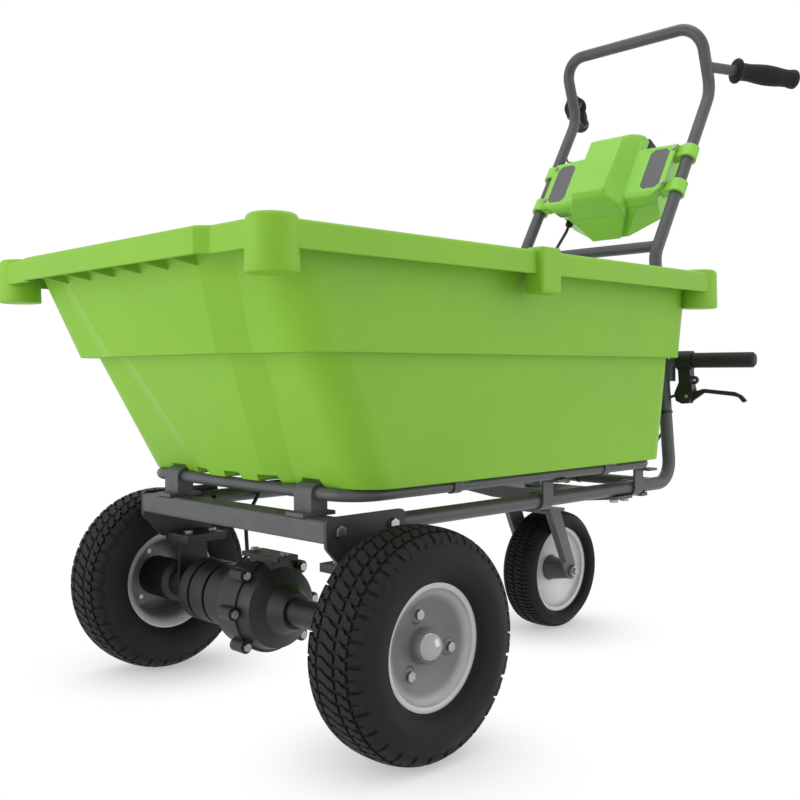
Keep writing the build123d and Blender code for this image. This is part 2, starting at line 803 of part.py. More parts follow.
def carcass(centre, radius, width, seat_w, wall):
    """A hollow tyre without its tread, open towards the rim."""
    seat_r = rim_seat_r + 0.3
    side_r = (radius + seat_r) / 2 + 2
    shoulder = width / 2 - wall / 2
    lip_u = seat_w / 2
    heel_u = lip_u - rim_wall - 3 - part_gap
    lip_r = rim_lip_d / 2 + part_gap
    bead_u = lip_u - 2.5 - part_gap
    lining = shoulder - wall - 4
    with BuildPart() as tyre:
        with BuildSketch(Plane(origin=centre, x_dir=(1, 0, 0), z_dir=(0, -1, 0))):
            with BuildLine():
                Polyline((0, radius - wall), (0, radius))
                ThreePointArc((0, radius), (shoulder / 2, radius - 1), (shoulder, radius - 5))
                Spline(
                    (shoulder, radius - 5),
                    (width / 2, side_r),
                    (bead_u, lip_r),
                    tangents=((0.75, -1), (-0.6, -1)),
                )
                Polyline(
                    (bead_u, lip_r),
                    (heel_u + 2, seat_r + 2),
                    (heel_u, seat_r),
                    (heel_u - wall, seat_r),
                    (bead_u - wall, lip_r),
                )
                Spline(
                    (bead_u - wall, lip_r),
                    (width / 2 - wall, side_r),
                    (lining, radius - wall - 4),
                    tangents=((0.6, 1), (-0.9, 1)),
                )
                ThreePointArc(
                    (lining, radius - wall - 4), (lining / 2, radius - wall - 1), (0, radius - wall)
                )
            make_face()
            mirror(about=Plane.YZ)
        revolve(axis=Axis(centre, (1, 0, 0)))
    return tyre.part


def pressed_rim(centre, width, disc_at, hub_r):
    """A barrel with rolled lips, and a dished disc down to the hub."""
    lip = width / 2
    lip_r = rim_lip_d / 2
    seat_r = rim_seat_r
    with BuildPart() as rim:
        with BuildSketch(Plane(origin=centre, x_dir=(1, 0, 0), z_dir=(0, -1, 0))):
            with BuildLine():
                Polyline(
                    (-lip, lip_r),
                    (-lip + 2.5, lip_r),
                    (-lip + rim_wall + 1, seat_r + 2),
                    (-lip + rim_wall + 3, seat_r),
                    (lip - rim_wall - 3, seat_r),
                    (lip - rim_wall - 1, seat_r + 2),
                    (lip - 2.5, lip_r),
                    (lip, lip_r),
                    (lip, lip_r - 5),
                    (lip - 2.5, seat_r - rim_wall - 1),
                    (lip - 8, seat_r - rim_wall - 2),
                    (disc_at + 6, seat_r - rim_wall - 2),
                    (disc_at + 2, seat_r - 12),
                    (disc_at, hub_r + 8),
                    (disc_at, hub_r),
                    (disc_at - rim_wall, hub_r),
                    (disc_at - rim_wall, hub_r + 8),
                    (disc_at - rim_wall + 1, seat_r - 12),
                    (disc_at, seat_r - rim_wall),
                    (-lip + 1, seat_r - rim_wall),
                    (-lip, lip_r - 4),
                    close=True,
                )
            make_face()
        revolve(axis=Axis(centre, (1, 0, 0)))
    return rim.part


# Front wheels: lugged tyre, pressed rim with pads, hub with its shaft, domed cap and nuts
wheel_at = Vector(wheel_x, axle_y, axle_z)
wheel_plane = Plane(origin=wheel_at, x_dir=(1, 0, 0), z_dir=(0, -1, 0))
wheel_axis = Axis(wheel_at, (1, 0, 0))
wheel_face = Plane(origin=wheel_at, x_dir=(0, 1, 0), z_dir=across)
disc_at = rim_w / 2 - dish_in
hub_r = hub_d / 2
cap_r = hub_cap_d / 2
front_carcass = carcass(wheel_at, tyre_r, tyre_w, rim_w, tyre_wall)
with BuildPart() as tyre:
    add(front_carcass)
    for side in (1, -1):
        with Locations(wheel_face.offset(side * tyre_w * 0.36)):
            with PolarLocations(tyre_r, tread_lugs, start_angle=90 / tread_lugs * side):
                Box(
                    2 * tread_depth,
                    lug_gap,
                    tyre_w * 0.36,
                    rotation=(side * lug_slant, 0, 0),
                    mode=Mode.SUBTRACT,
                )
save("tyre_left", tyre.part)
save("tyre_right", mirrored(tyre.part))
front_rim = pressed_rim(wheel_at, rim_w, disc_at, cap_r - 4)
with BuildPart() as rim:
    add(front_rim)
    with Locations(wheel_face.offset(disc_at - 1)):
        with PolarLocations(wheel_pad_pcd / 2, wheel_pads, start_angle=wheel_pad_turn):
            Cone(12, 8, pad_h + 1, align=(Align.CENTER, Align.CENTER, Align.MIN))
            Cylinder(4, 6 * pad_h, mode=Mode.SUBTRACT)
save("rim_left", rim.part)
save("rim_right", mirrored(rim.part))
hub_in = axle_tube_end + part_gap - wheel_x
with BuildPart() as hub:
    with BuildSketch(wheel_plane):
        with BuildLine():
            Polyline(
                (gear_case_left - 32 - wheel_x, 0),
                (gear_case_left - 32 - wheel_x, shaft_r),
                (hub_in, shaft_r),
                (hub_in, hub_r - 8),
                (hub_in + 6, hub_r),
                (disc_at - rim_wall, hub_r),
                (disc_at - rim_wall, cap_r - 4),
                (disc_at, cap_r - 4),
                (disc_at, 0),
                close=True,
            )
        make_face()
    revolve(axis=wheel_axis)
save("hub_left", hub.part)
save("hub_right", mirrored(hub.part))
cap_shoulder = disc_at + hub_cap_len - cap_r / 2
with BuildPart() as hub_cap:
    with BuildSketch(wheel_plane):
        with BuildLine():
            Polyline((cap_shoulder, cap_r - 1), (disc_at + 1.5, cap_r - 1), (disc_at, cap_r), (disc_at, 0))
            Line((disc_at, 0), (disc_at + hub_cap_len, 0))
            TangentArc((disc_at + hub_cap_len, 0), (cap_shoulder, cap_r - 1), tangent=(0, 1))
        make_face()
    revolve(axis=wheel_axis)
save("hub_cap_left", hub_cap.part)
save("hub_cap_right", mirrored(hub_cap.part))
wheel_bolts = []
for k in range(wheel_pads):
    turn = math.radians(wheel_pad_turn + 360 / wheel_pads * k)
    spoke = wheel_face.x_dir * math.cos(turn) + wheel_face.y_dir * math.sin(turn)
    seat = wheel_at + spoke * (wheel_pad_pcd / 2) + across * (disc_at + pad_h)
    wheel_bolts.append(bolt(seat, across, 6.5, 4, 4, pad_h + rim_wall))
save("wheel_bolts_left", *wheel_bolts)
save("wheel_bolts_right", *[mirrored(piece) for piece in wheel_bolts])

# Caster cross member: a shallow channel under the rails with the swivel bearing's head
rail_bottom = rail_z - tube_r
member_bottom = rail_bottom - plate
crown_bottom = caster_d + crown_over_tyre
crown_top = crown_bottom + fork_plate
pin_r = kingpin_d / 2
member_half = hanger_x
member_bolt_y = (kingpin_y - cross_member_len / 2 + 12, kingpin_y - 8)
with BuildPart() as cross_member:
    with BuildSketch(Plane.XY.offset(member_bottom)):
        with Locations((0, kingpin_y)):
            RectangleRounded(2 * member_half, cross_member_len, 8)
        with Locations((rail_x, aft(rest_y[1])), (-rail_x, aft(rest_y[1]))):
            Rectangle(2 * strap_r + 4, rest_w + 4, mode=Mode.SUBTRACT)
        with Locations(*[(x, y) for x in (rail_x, -rail_x) for y in member_bolt_y]):
            Circle(4, mode=Mode.SUBTRACT)
    extrude(amount=plate)
    for y in (kingpin_y - cross_member_len / 2, kingpin_y + cross_member_len / 2 - fork_plate):
        with BuildSketch(Plane.XZ.offset(-y - fork_plate)):
            with BuildLine():
                Polyline(
                    (-member_half + 10, member_bottom),
                    (member_half - 10, member_bottom),
                    (head_d, member_bottom - cross_member_lip),
                    (-head_d, member_bottom - cross_member_lip),
                    close=True,
                )
            make_face()
        extrude(amount=fork_plate)
    with BuildSketch(Plane.XY.offset(crown_top + part_gap)):
        with Locations((0, kingpin_y)):
            Circle(head_d / 2)
    extrude(amount=member_bottom - crown_top - part_gap)
    with BuildSketch(Plane.XY.offset(crown_top)):
        with Locations((0, kingpin_y)):
            Circle(pin_r + running)
    extrude(amount=rail_z - crown_top, mode=Mode.SUBTRACT)
save("caster_cross_member", cross_member.part)

# Caster fork: crown, two slanted legs with a stiffening flange, and the kingpin with its nut
caster_at = Vector(0, caster_y, caster_r)
leg_in = caster_w / 2 + fork_gap
leg_out = leg_in + fork_plate
axle_boss = 15.0
crown_front = kingpin_y - head_d / 2 - 4
crown_back = kingpin_y + head_d / 2 + 4
leg_front = kingpin_y - 20
leg_back = kingpin_y + 16
flange_end = 0.85


def leg_edge(share):
    """Point on the front edge of the fork's leg, from the crown at 0 to the axle at 1."""
    along = leg_front + (caster_y - axle_boss - leg_front) * share
    return (along, crown_top + (caster_r - crown_top) * share)


with BuildPart() as fork:
    with BuildSketch(Plane.XY.offset(crown_bottom)):
        with Locations((0, kingpin_y)):
            Rectangle(2 * leg_out, crown_back - crown_front)
    extrude(amount=fork_plate)
    for x in (leg_in, -leg_out):
        with BuildSketch(side_plane(x)):
            with BuildLine():
                Polyline(
                    (leg_front, crown_bottom),
                    (leg_back, crown_bottom),
                    (leg_back, crown_top),
                    (leg_front, crown_top),
                    close=True,
                )
                CenterArc((caster_y, caster_r), axle_boss, 0, 360)
            make_hull()
            with Locations((caster_y, caster_r)):
                Circle(caster_axle_d / 2, mode=Mode.SUBTRACT)
        extrude(amount=fork_plate)
    for x in (leg_out, -leg_out - fork_flange + fork_plate):
        with BuildSketch(side_plane(x)):
            with BuildLine():
                Polyline(
                    leg_edge(0),
                    (leg_edge(0)[0] + fork_plate, leg_edge(0)[1]),
                    (leg_edge(flange_end)[0] + fork_plate, leg_edge(flange_end)[1]),
                    leg_edge(flange_end),
                    close=True,
                )
            make_face()
        extrude(amount=fork_flange - fork_plate)
save("caster_fork", fork.part)
with BuildPart() as kingpin:
    with BuildSketch(Plane.XY.offset(crown_top)):
        with Locations((0, kingpin_y)):
            Circle(pin_r)
    extrude(amount=rail_bottom + part_gap - crown_top)
    with BuildSketch(Plane.XY.offset(rail_bottom + part_gap)):
        with Locations((0, kingpin_y)):
            RegularPolygon(16, 6)
    extrude(amount=10)
save("kingpin", kingpin.part)
caster_axle_r = caster_axle_d / 2
caster_axle = rod(caster_at - across * (leg_out + 12), caster_at + across * (leg_out + 12), caster_axle_r)
caster_nuts = []
for side in (1, -1):
    with BuildPart() as nut:
        with BuildSketch(Plane(origin=caster_at + across * (side * leg_out), z_dir=across * side)):
            RegularPolygon(11, 6)
            Circle(caster_axle_r, mode=Mode.SUBTRACT)
        extrude(amount=8)
    caster_nuts.append(nut.part)
save("caster_axle", caster_axle, *caster_nuts)

# Caster wheel: ribbed tyre on a pressed rim with a long hub
caster_plane = Plane(origin=caster_at, x_dir=(1, 0, 0), z_dir=(0, -1, 0))
caster_axis = Axis(caster_at, (1, 0, 0))
rear_carcass = carcass(caster_at, caster_r, caster_w, caster_rim_w, caster_wall)
caster_face = Plane(origin=caster_at, z_dir=across)
with BuildPart() as caster_tyre:
    add(rear_carcass)
    for side in (1, -1):
        with Locations(caster_face.offset(side * caster_w * 0.38)):
            with PolarLocations(caster_r, tread_lugs, start_angle=90 / tread_lugs * side):
                Box(tread_depth, lug_gap * 0.6, caster_w * 0.34, mode=Mode.SUBTRACT)
save("caster_tyre", caster_tyre.part)
rear_rim = pressed_rim(caster_at, caster_rim_w, 0, cap_r - 2)
with BuildPart() as caster_rim:
    add(rear_rim)
    with BuildSketch(caster_plane):
        with BuildLine():
            Polyline(
                (-leg_in + slide_gap, caster_axle_r + running),
                (-leg_in + slide_gap, cap_r - 6),
                (-8, cap_r),
                (8, cap_r),
                (leg_in - slide_gap, cap_r - 6),
                (leg_in - slide_gap, caster_axle_r + running),
                close=True,
            )
        make_face()
    revolve(axis=caster_axis)
save("caster_rim", caster_rim.part)

# Tub frame: one rod bent to a ring under the floor, with a striker loop; its front bar is the tipping hinge
striker_r = striker_d / 2
striker_y = aft(ring_back + striker_reach)
striker_x = striker_w / 2
striker_loop = bent_tube(
    [
        Vector(-striker_x, aft(ring_back), ring_z),
        Vector(-striker_x, striker_y, ring_z),
        Vector(striker_x, striker_y, ring_z),
        Vector(striker_x, aft(ring_back), ring_z),
    ],
    [striker_d, striker_d],
    striker_r,
)
with BuildPart() as tub_ring:
    with BuildLine(Plane.XY.offset(ring_z)) as ring_path:
        FilletPolyline(
            (-ring_half_w, aft(ring_front)),
            (ring_half_w, aft(ring_front)),
            (ring_half_w, aft(ring_back)),
            (-ring_half_w, aft(ring_back)),
            radius=ring_corner,
            close=True,
        )
    with BuildSketch(Plane(origin=ring_path.line @ 0, z_dir=ring_path.line % 0)):
        Circle(ring_r)
    sweep()
    add(striker_loop)
save("tub_ring", tub_ring.part)

# Clips that hold the ring to the tub's floor
clips = []
for y in clip_y:
    with BuildPart() as clip:
        with BuildSketch(Plane.XZ.offset(-aft(y) - clip_w / 2)):
            with Locations((ring_half_w, ring_z)):
                Circle(ring_r + clip_t)
                Rectangle(2 * (ring_r + clip_t), ring_r, align=(Align.CENTER, Align.MIN))
            with Locations((ring_half_w, tub_floor_z - clip_t / 2)):
                Rectangle(2 * (ring_r + clip_ear), clip_t)
            with Locations((ring_half_w, ring_z)):
                Circle(ring_r, mode=Mode.SUBTRACT)
                Rectangle(2 * ring_r, 4 * ring_r, align=(Align.CENTER, Align.MIN), mode=Mode.SUBTRACT)
            with Locations((ring_half_w, tub_floor_z)):
                Rectangle(4 * ring_r, ring_r, align=(Align.CENTER, Align.MIN), mode=Mode.SUBTRACT)
        extrude(amount=clip_w)
    clips += [clip.part, mirrored(clip.part)]
save("ring_clips", *clips)

# Hinge blocks on the cross rail, bored for the ring's front bar
hinge_r = ring_r + hinge_wall
hinge_blocks = []
for x in (hinge_x, -hinge_x):
    with BuildPart() as block:
        with BuildSketch(side_plane(x - hinge_w / 2)):
            with Locations((hinge_y, ring_z)):
                Circle(hinge_r)
            with Locations((hinge_y, (ring_z + cross_rail_top) / 2)):
                Rectangle(2 * hinge_r, ring_z - cross_rail_top)
            with Locations((hinge_y, cross_rail_top + plate / 2)):
                Rectangle(2 * (hinge_y - hanger_front), plate)
            with Locations((hinge_y, ring_z)):
                Circle(ring_r + running, mode=Mode.SUBTRACT)
        extrude(amount=hinge_w)
    hinge_blocks.append(block.part)
save("hinge_blocks", *hinge_blocks)

# Latch: a pin between two cheeks on the rear cross tube, and the hook that holds the striker
latch_y = striker_y - 3
latch_z = ring_z - latch_drop
latch_pin_r = latch_pin_d / 2
cheek_x = latch_thick / 2 + slide_gap
cheeks = []
for x in (cheek_x, -cheek_x - latch_cheek):
    with BuildPart() as cheek:
        with BuildSketch(side_plane(x)):
            with BuildLine():
                CenterArc((latch_y, latch_z), latch_pin_r + 6, 0, 360)
                CenterArc((aft(rear_tube_y), rail_z), rear_tube_r + 5, 0, 360)
            make_hull()
            with Locations((latch_y, latch_z)):
                Circle(latch_pin_r, mode=Mode.SUBTRACT)
            with Locations((aft(rear_tube_y), rail_z)):
                Circle(rear_tube_r, mode=Mode.SUBTRACT)
        extrude(amount=latch_cheek)
    cheeks.append(cheek.part)
save("latch_cheeks", *cheeks)
latch_at = Vector(0, latch_y, latch_z)
latch_pin_half = across * (cheek_x + latch_cheek + 3)
latch_pin = rod(latch_at - latch_pin_half, latch_at + latch_pin_half, latch_pin_r)
save("pivot_pins", lever_pin, latch_pin)
hook_under = latch_drop + striker_r + part_gap
hook_stem = striker_y + striker_r + part_gap - latch_y
with BuildPart() as hook:
    with BuildSketch(Plane(origin=latch_at, x_dir=(0, 1, 0), z_dir=(1, 0, 0))):
        with BuildLine():
            Polyline(
                (-9, -6),
                (-9, 6),
                (hook_stem - 6, latch_drop - striker_r - 7),
                (hook_stem, latch_drop - striker_r - 1),
                (hook_stem, hook_under),
                (-5, hook_under),
                (-5, hook_under + 4),
                (-1, hook_under + 8),
                (hook_stem + 5, hook_under + 8),
                (hook_stem + 8, hook_under + 3),
                (hook_stem + 7, latch_drop - 12),
                (9, -4),
                (3, -9),
                (-5, -9),
                close=True,
            )
        make_face()
        Circle(latch_pin_r + running, mode=Mode.SUBTRACT)
    extrude(amount=latch_thick / 2, both=True)
save("latch_hook", hook.part)


def tub_outline(z, half_w, back, front, nose, nose_half, strip, corner, inset=0.0):
    """Face of the tub's plan at a height, drawn in by an inset: square back, front with a raised middle."""
    with BuildSketch(Plane.XY.offset(z)) as outline:
        with BuildLine():
            Polyline(
                (0, aft(back) - inset),
                (half_w - inset, aft(back) - inset),
                (half_w - inset, aft(front) + inset),
                (nose_half + strip, aft(front) + inset),
                (nose_half, aft(nose) + inset),
                (0, aft(nose) + inset),
                close=True,
            )
        make_face()
        fillet(vertices().group_by(Axis.X)[-1], corner - inset)
        mirror(about=Plane.YZ)
    return outline.sketch


floor_plan = (floor_half_w, floor_back, floor_front, floor_nose, floor_nose_half, nose_strip, tub_corner)
step_plan = (step_half_w, step_back, step_front, step_nose, step_nose_half, nose_strip, tub_corner)
shelf_plan = (shelf_half_w, shelf_back, shelf_front, shelf_nose, shelf_nose_half, nose_strip, tub_corner)
brim_plan = (brim_half_w, brim_back, brim_front, brim_nose, brim_nose_half, nose_strip, tub_corner)
rim_plan = (rim_half_w, rim_back, rim_front, rim_nose, rim_nose_half, rim_strip, rim_corner)


def tub_body(drop, inset):
    """The tub's stepped body, from a plan at each change of slope."""
    lower = [
        tub_outline(tub_floor_z + drop, *floor_plan, inset).faces()[0],
        tub_outline(tub_step_z + drop, *step_plan, inset).faces()[0],
    ]
    upper = [
        tub_outline(tub_step_z + drop, *shelf_plan, inset).faces()[0],
        tub_outline(tub_rim_z + drop, *brim_plan, inset).faces()[0],
    ]
    with BuildPart() as body:
        loft(lower, ruled=True)
        loft(upper, ruled=True)
    return body.part


# Tub: a moulded shell with a step in its walls, a corrugated floor and a rolled rim
tub_outer = tub_body(0, 0)
tub_inner = tub_body(tub_wall, tub_wall)
rim_top_face = tub_outline(tub_rim_z, *rim_plan)
skirt_hollow_face = tub_outline(tub_rim_z - tub_wall, *rim_plan, tub_wall)
groove_x = [groove_pitch * (k - (floor_grooves - 1) / 2) for k in range(floor_grooves)]
groove_slope = 75.0
rib_x = [rim_rib_pitch * (k - (rim_ribs - 1) / 2) for k in range(rim_ribs)]
rim_low = tub_rim_z - tub_skirt
boss_low = tub_rim_z - boss_h


def nose_wall(z):
    """Place along the cart of the front wall's outer face at a height above the step."""
    share = (z - tub_step_z) / (tub_rim_z - tub_step_z)
    return aft(shelf_nose + (brim_nose - shelf_nose) * share)


with BuildPart() as cavity:
    add(tub_inner)
    with BuildSketch(Plane.XZ.offset(-aft(rim_back))):
        for x in groove_x:
            with Locations((x, tub_floor_z + groove_h + tub_wall)):
                Trapezoid(
                    groove_w + 2 * tub_wall,
                    2 * (groove_h + tub_wall),
                    groove_slope,
                    align=(Align.CENTER, Align.MAX),
                )
    extrude(amount=rim_back - rim_nose, mode=Mode.SUBTRACT)
corner_bosses = [
    (side * (rim_half_w - boss_in), aft(y))
    for side in (1, -1)
    for y in (rim_front + boss_in, rim_back - boss_in)
]
with BuildPart() as rim_band:
    extrude(rim_top_face, amount=-tub_skirt)
    with BuildSketch(Plane.XY.offset(boss_low)):
        with Locations(*corner_bosses):
            Circle(boss_d / 2)
        for side in (1, -1):
            with Locations((side * (rim_half_w + side_boss_out - side_boss_w / 2), aft(side_boss_y))):
                RectangleRounded(side_boss_w, side_boss_w, 5)
    extrude(amount=boss_h)
    fillet(faces().sort_by(Axis.Z)[-1].outer_wire().edges(), rim_round)
    extrude(skirt_hollow_face, amount=-boss_h, mode=Mode.SUBTRACT)
    with BuildSketch(Plane.XY.offset(boss_low)):
        with Locations(*corner_bosses):
            Circle(boss_d / 2)
        for side in (1, -1):
            with Locations((side * (rim_half_w + side_boss_out - side_boss_w / 2), aft(side_boss_y))):
                RectangleRounded(side_boss_w, side_boss_w, 5)
        offset(amount=-tub_wall, mode=Mode.REPLACE)
    extrude(amount=boss_h - tub_wall, mode=Mode.SUBTRACT)
with BuildPart() as tub:
    add(tub_outer)
    add(rim_band.part)
    for x in rib_x:
        with BuildSketch(side_plane(x - tub_wall / 2)):
            with BuildLine():
                Polyline(
                    (aft(rim_nose) + tub_wall / 2, tub_rim_z - tub_wall / 2),
                    (aft(rim_nose) + tub_wall / 2, rim_low),
                    (nose_wall(rim_low - rim_rib_drop) + tub_wall / 2, rim_low - rim_rib_drop),
                    (nose_wall(tub_rim_z) + tub_wall / 2, tub_rim_z - tub_wall / 2),
                    close=True,
                )
            make_face()
        extrude(amount=tub_wall)
    add(cavity.part, mode=Mode.SUBTRACT)
    with BuildSketch(Plane.XZ.offset(-aft(rim_back))):
        for x in groove_x:
            with Locations((x, tub_floor_z + groove_h)):
                Trapezoid(groove_w, 2 * groove_h, groove_slope, align=(Align.CENTER, Align.MAX))
    extrude(amount=rim_back - rim_nose, mode=Mode.SUBTRACT)
save("tub", tub.part)

# Control box: its own frame has X across the cart, S up the handle's legs and N out of their plane forwards
box_at = knee + arm_dir * ((box_height_z - knee_z) / arm_dir.Z)
box_up = arm_dir
box_out = Vector(0, -arm_dir.Z, arm_dir.Y)
box_plane = Plane(origin=(0, box_at.Y, box_at.Z), x_dir=(1, 0, 0), z_dir=box_out)
box_side = Plane(origin=box_plane.origin, x_dir=box_up, z_dir=across)


def box_point(x, s, n):
    """A point given in the control box's frame."""
    return box_plane.from_local_coords(Vector(x, s, n))


def box_level(s):
    """Plane square to the handle's legs: sketch X runs across and sketch Y runs out to the front."""
    return Plane(origin=box_point(0, s, 0), x_dir=(1, 0, 0), z_dir=-box_up)


def box_floor(n):
    """Lowest place of the box at a distance from the legs' plane."""
    return box_fold + (box_keel - box_fold) * (box_front - n) / (box_front - box_back)


def box_section(n, inset=0.0, narrow=0.0):
    """Face of the box at a distance from the legs' plane: wide in front, drawn in to a keel at the back."""
    share = (box_front - n) / (box_front - box_back)
    top_half = box_half_w + (box_back_half_w - box_half_w) * share - inset - narrow
    hip_half = box_half_w + (box_back_half_w - 12 - box_half_w) * share - inset - narrow
    keel_half = box_half_w - 18 + (box_keel_half_w - box_half_w + 18) * share - inset / 2 - narrow
    hip = box_fold + 16 - 18 * share + inset / 2
    keel = box_floor(n) + inset
    with BuildSketch(box_plane.offset(n)) as section:
        with BuildLine():
            Polyline(
                (0, box_top - inset),
                (top_half, box_top - inset),
                (hip_half, hip),
                (keel_half, keel),
                (0, keel),
                close=True,
            )
        make_face()
        mirror(about=Plane.YZ)
    return section.sketch.faces()[0]


lug_s = (lug_offset, -lug_offset)
lug_r = tube_r + lug_wall
screw_x = hoop_x - lug_r - lug_screw_in
ear_t = 6.0
ear_in = screw_x - lug_screw_in - 2
lugs = []
clamps = []
for s in lug_s:
    for side in (1, -1):
        for facing, kept in ((1, lugs), (-1, clamps)):
            with BuildPart() as lug:
                with BuildSketch(box_level(s + lug_len / 2)):
                    with Locations((side * hoop_x, 0)):
                        Circle(lug_r)
                    with Locations((side * (hoop_x + ear_in) / 2, 0)):
                        Rectangle(hoop_x - ear_in, 2 * lug_r - 6 if facing == 1 else 2 * ear_t)
                    with Locations((side * hoop_x, 0)):
                        Circle(tube_r, mode=Mode.SUBTRACT)
                    with Locations((side * hoop_x, -facing * 2 * lug_r + facing * part_gap / 2)):
                        Rectangle(6 * lug_r, 4 * lug_r, mode=Mode.SUBTRACT)
                extrude(amount=lug_len)
                with BuildSketch(box_plane):
                    with Locations((side * screw_x, s)):
                        Circle(2.5)
                extrude(amount=2 * lug_r, both=True, mode=Mode.SUBTRACT)
            kept.append(lug.part)
save("box_clamps", *clamps)

# Front shell: wings with recesses for the panels, a raised middle and four half lugs
panel_plan = ((panel_in + panel_out) / 2, (panel_low + panel_high) / 2)
with BuildPart() as hump:
    with BuildSketch(box_side):
        with BuildLine():
            Polyline(
                (box_floor(0) - hump_rise, 0),
                (box_fold - hump_rise - 2, hump_out - 12),
                (box_fold - 4, hump_out),
                (box_top + 3, hump_out),
                (box_top + 25, hump_out - 18),
                (box_top + 36, box_front),
                (box_top + 36, 4),
                (box_top - 20, 4),
                (box_top - 20, box_front - 2),
                (box_fold + 4, box_front - 2),
                (box_fold + 4, 0),
                close=True,
            )
        make_face()
    extrude(amount=box_half_w, both=True)
    with BuildSketch(box_level(0)):
        with BuildLine():
            Polyline(
                (-hump_base_half_w, 0),
                (-hump_base_half_w, box_front),
                (-hump_half_w, hump_out),
                (hump_half_w, hump_out),
                (hump_base_half_w, box_front),
                (hump_base_half_w, 0),
                close=True,
            )
        make_face()
    extrude(amount=3 * box_top, both=True, mode=Mode.INTERSECT)
    fillet(faces().sort_by(Axis(box_plane.origin, box_out))[-1].edges(), 6)
front_faces = [box_section(0), box_section(box_front)]
hollow_faces = [
    box_section(0, box_wall, box_step),
    box_section(box_front - 2 * box_wall, box_wall, box_step),
]
with BuildPart() as front_hollow:
    loft(hollow_faces, ruled=True)
with BuildPart() as box_front_shell:
    loft(front_faces, ruled=True)
    add(hump.part)
    add(front_hollow.part, mode=Mode.SUBTRACT)
    add(lugs)
    with BuildSketch(box_plane.offset(box_front)):
        for side in (1, -1):
            with Locations((side * panel_plan[0], panel_plan[1])):
                Rectangle(panel_out - panel_in, panel_high - panel_low)
        chamfer(vertices(), 8)
    extrude(amount=-panel_depth, mode=Mode.SUBTRACT)
    with BuildSketch(box_plane.offset(box_front)):
        with Locations(*[(side * screw_x, s) for side in (1, -1) for s in lug_s]):
            Circle(2.5)
    extrude(amount=-box_front, mode=Mode.SUBTRACT)
save("box_front_shell", box_front_shell.part)
with BuildPart() as panels:
    with BuildSketch(box_plane.offset(box_front)):
        for side in (1, -1):
            with Locations((side * panel_plan[0], panel_plan[1])):
                Rectangle(panel_out - panel_in, panel_high - panel_low)
        chamfer(vertices(), 8)
    extrude(amount=-panel_depth)
save("box_panels", panels.part)

# Back shell: a tapered housing with the battery's bay and the control pockets in its top
battery_front = -2.0
battery_mid = battery_front - battery_t / 2
rocker_half = rocker_len / 2
rocker_swing = rocker_half * math.sin(math.radians(rocker_travel))
button_r = button_d / 2
grommet_at = (-90.0, -64.0, -24.0)
grommet_r = 7.0
motor_cable_r = motor_cable_d / 2
back_faces = [box_section(box_back), box_section(0, narrow=box_step)]
band_back = box_back + 8


def band_face(n, half):
    """Face of the raised band under the box at a distance from the legs' plane."""
    with BuildSketch(box_plane.offset(n)) as face:
        with Locations((0, box_floor(n))):
            Rectangle(2 * half, 2 * hump_rise)
    return face.sketch.faces()[0]


band_faces = [band_face(band_back, box_keel_half_w - 5), band_face(0, hump_base_half_w)]
with BuildPart() as box_back_shell:
    loft(back_faces, ruled=True)
    loft(band_faces, ruled=True)
    with BuildSketch(box_level(battery_top)):
        with Locations((0, battery_mid)):
            RectangleRounded(battery_w + 2 * slide_gap, battery_t + 2 * slide_gap, 6)
    extrude(amount=battery_len + slide_gap, mode=Mode.SUBTRACT)
    with BuildSketch(box_level(box_top)):
        with Locations((-control_x, control_n)):
            Rectangle(rocker_w + 2 * slide_gap, rocker_len + 3)
    extrude(amount=rocker_pin_d + rocker_h + rocker_swing + slide_gap, mode=Mode.SUBTRACT)
    with BuildSketch(box_side.offset(-control_x)):
        with Locations((box_top - rocker_pin_d, control_n)):
            Circle(rocker_pin_d / 2 + running)
    extrude(amount=rocker_w / 2 + 3, both=True, mode=Mode.SUBTRACT)
    with BuildSketch(box_level(box_top)):
        with Locations((control_x, control_n)):
            Circle(button_r + 2 * running)
    extrude(amount=3 * button_travel + 4, mode=Mode.SUBTRACT)
    with BuildSketch(box_level(grommet_at[1] + 10)):
        with Locations((grommet_at[0], grommet_at[2])):
            Circle(grommet_r)
    extrude(amount=60, mode=Mode.SUBTRACT)
save("box_back_shell", box_back_shell.part)
with BuildPart() as grommet:
    with BuildSketch(box_level(grommet_at[1] + 10)):
        with Locations((grommet_at[0], grommet_at[2])):
            Circle(grommet_r)
            Circle(motor_cable_r, mode=Mode.SUBTRACT)
    extrude(amount=20)
save("box_grommet", grommet.part)

# Battery, direction rocker and power button
with BuildPart() as battery:
    with BuildSketch(box_level(battery_top)):
        with Locations((0, battery_mid)):
            RectangleRounded(battery_w, battery_t, 6)
    extrude(amount=battery_len)
    fillet(faces().sort_by(Axis(box_plane.origin, box_up))[-1].edges(), 4)
    with BuildSketch(box_plane.offset(battery_front)):
        with GridLocations(0, 7, 1, 4):
            with Locations((0, (battery_top + box_top) / 2)):
                Rectangle(battery_w * 0.6, 3)
    extrude(amount=-2, mode=Mode.SUBTRACT)
save("battery", battery.part)
rocker_pivot_s = box_top - rocker_pin_d
with BuildPart() as rocker:
    with BuildSketch(box_side.offset(-control_x)):
        with BuildLine():
            Polyline(
                (rocker_pivot_s - rocker_h, control_n - rocker_half),
                (rocker_pivot_s + rocker_h + 2, control_n - rocker_half),
                (rocker_pivot_s + rocker_h, control_n),
                (rocker_pivot_s + rocker_h + 2, control_n + rocker_half),
                (rocker_pivot_s - rocker_h, control_n + rocker_half),
                close=True,
            )
        make_face()
    extrude(amount=rocker_w / 2, both=True)
    with BuildSketch(box_side.offset(-control_x)):
        with Locations((rocker_pivot_s, control_n)):
            Circle(rocker_pin_d / 2)
    extrude(amount=rocker_w / 2 + 2.5, both=True)
save("direction_rocker", rocker.part)
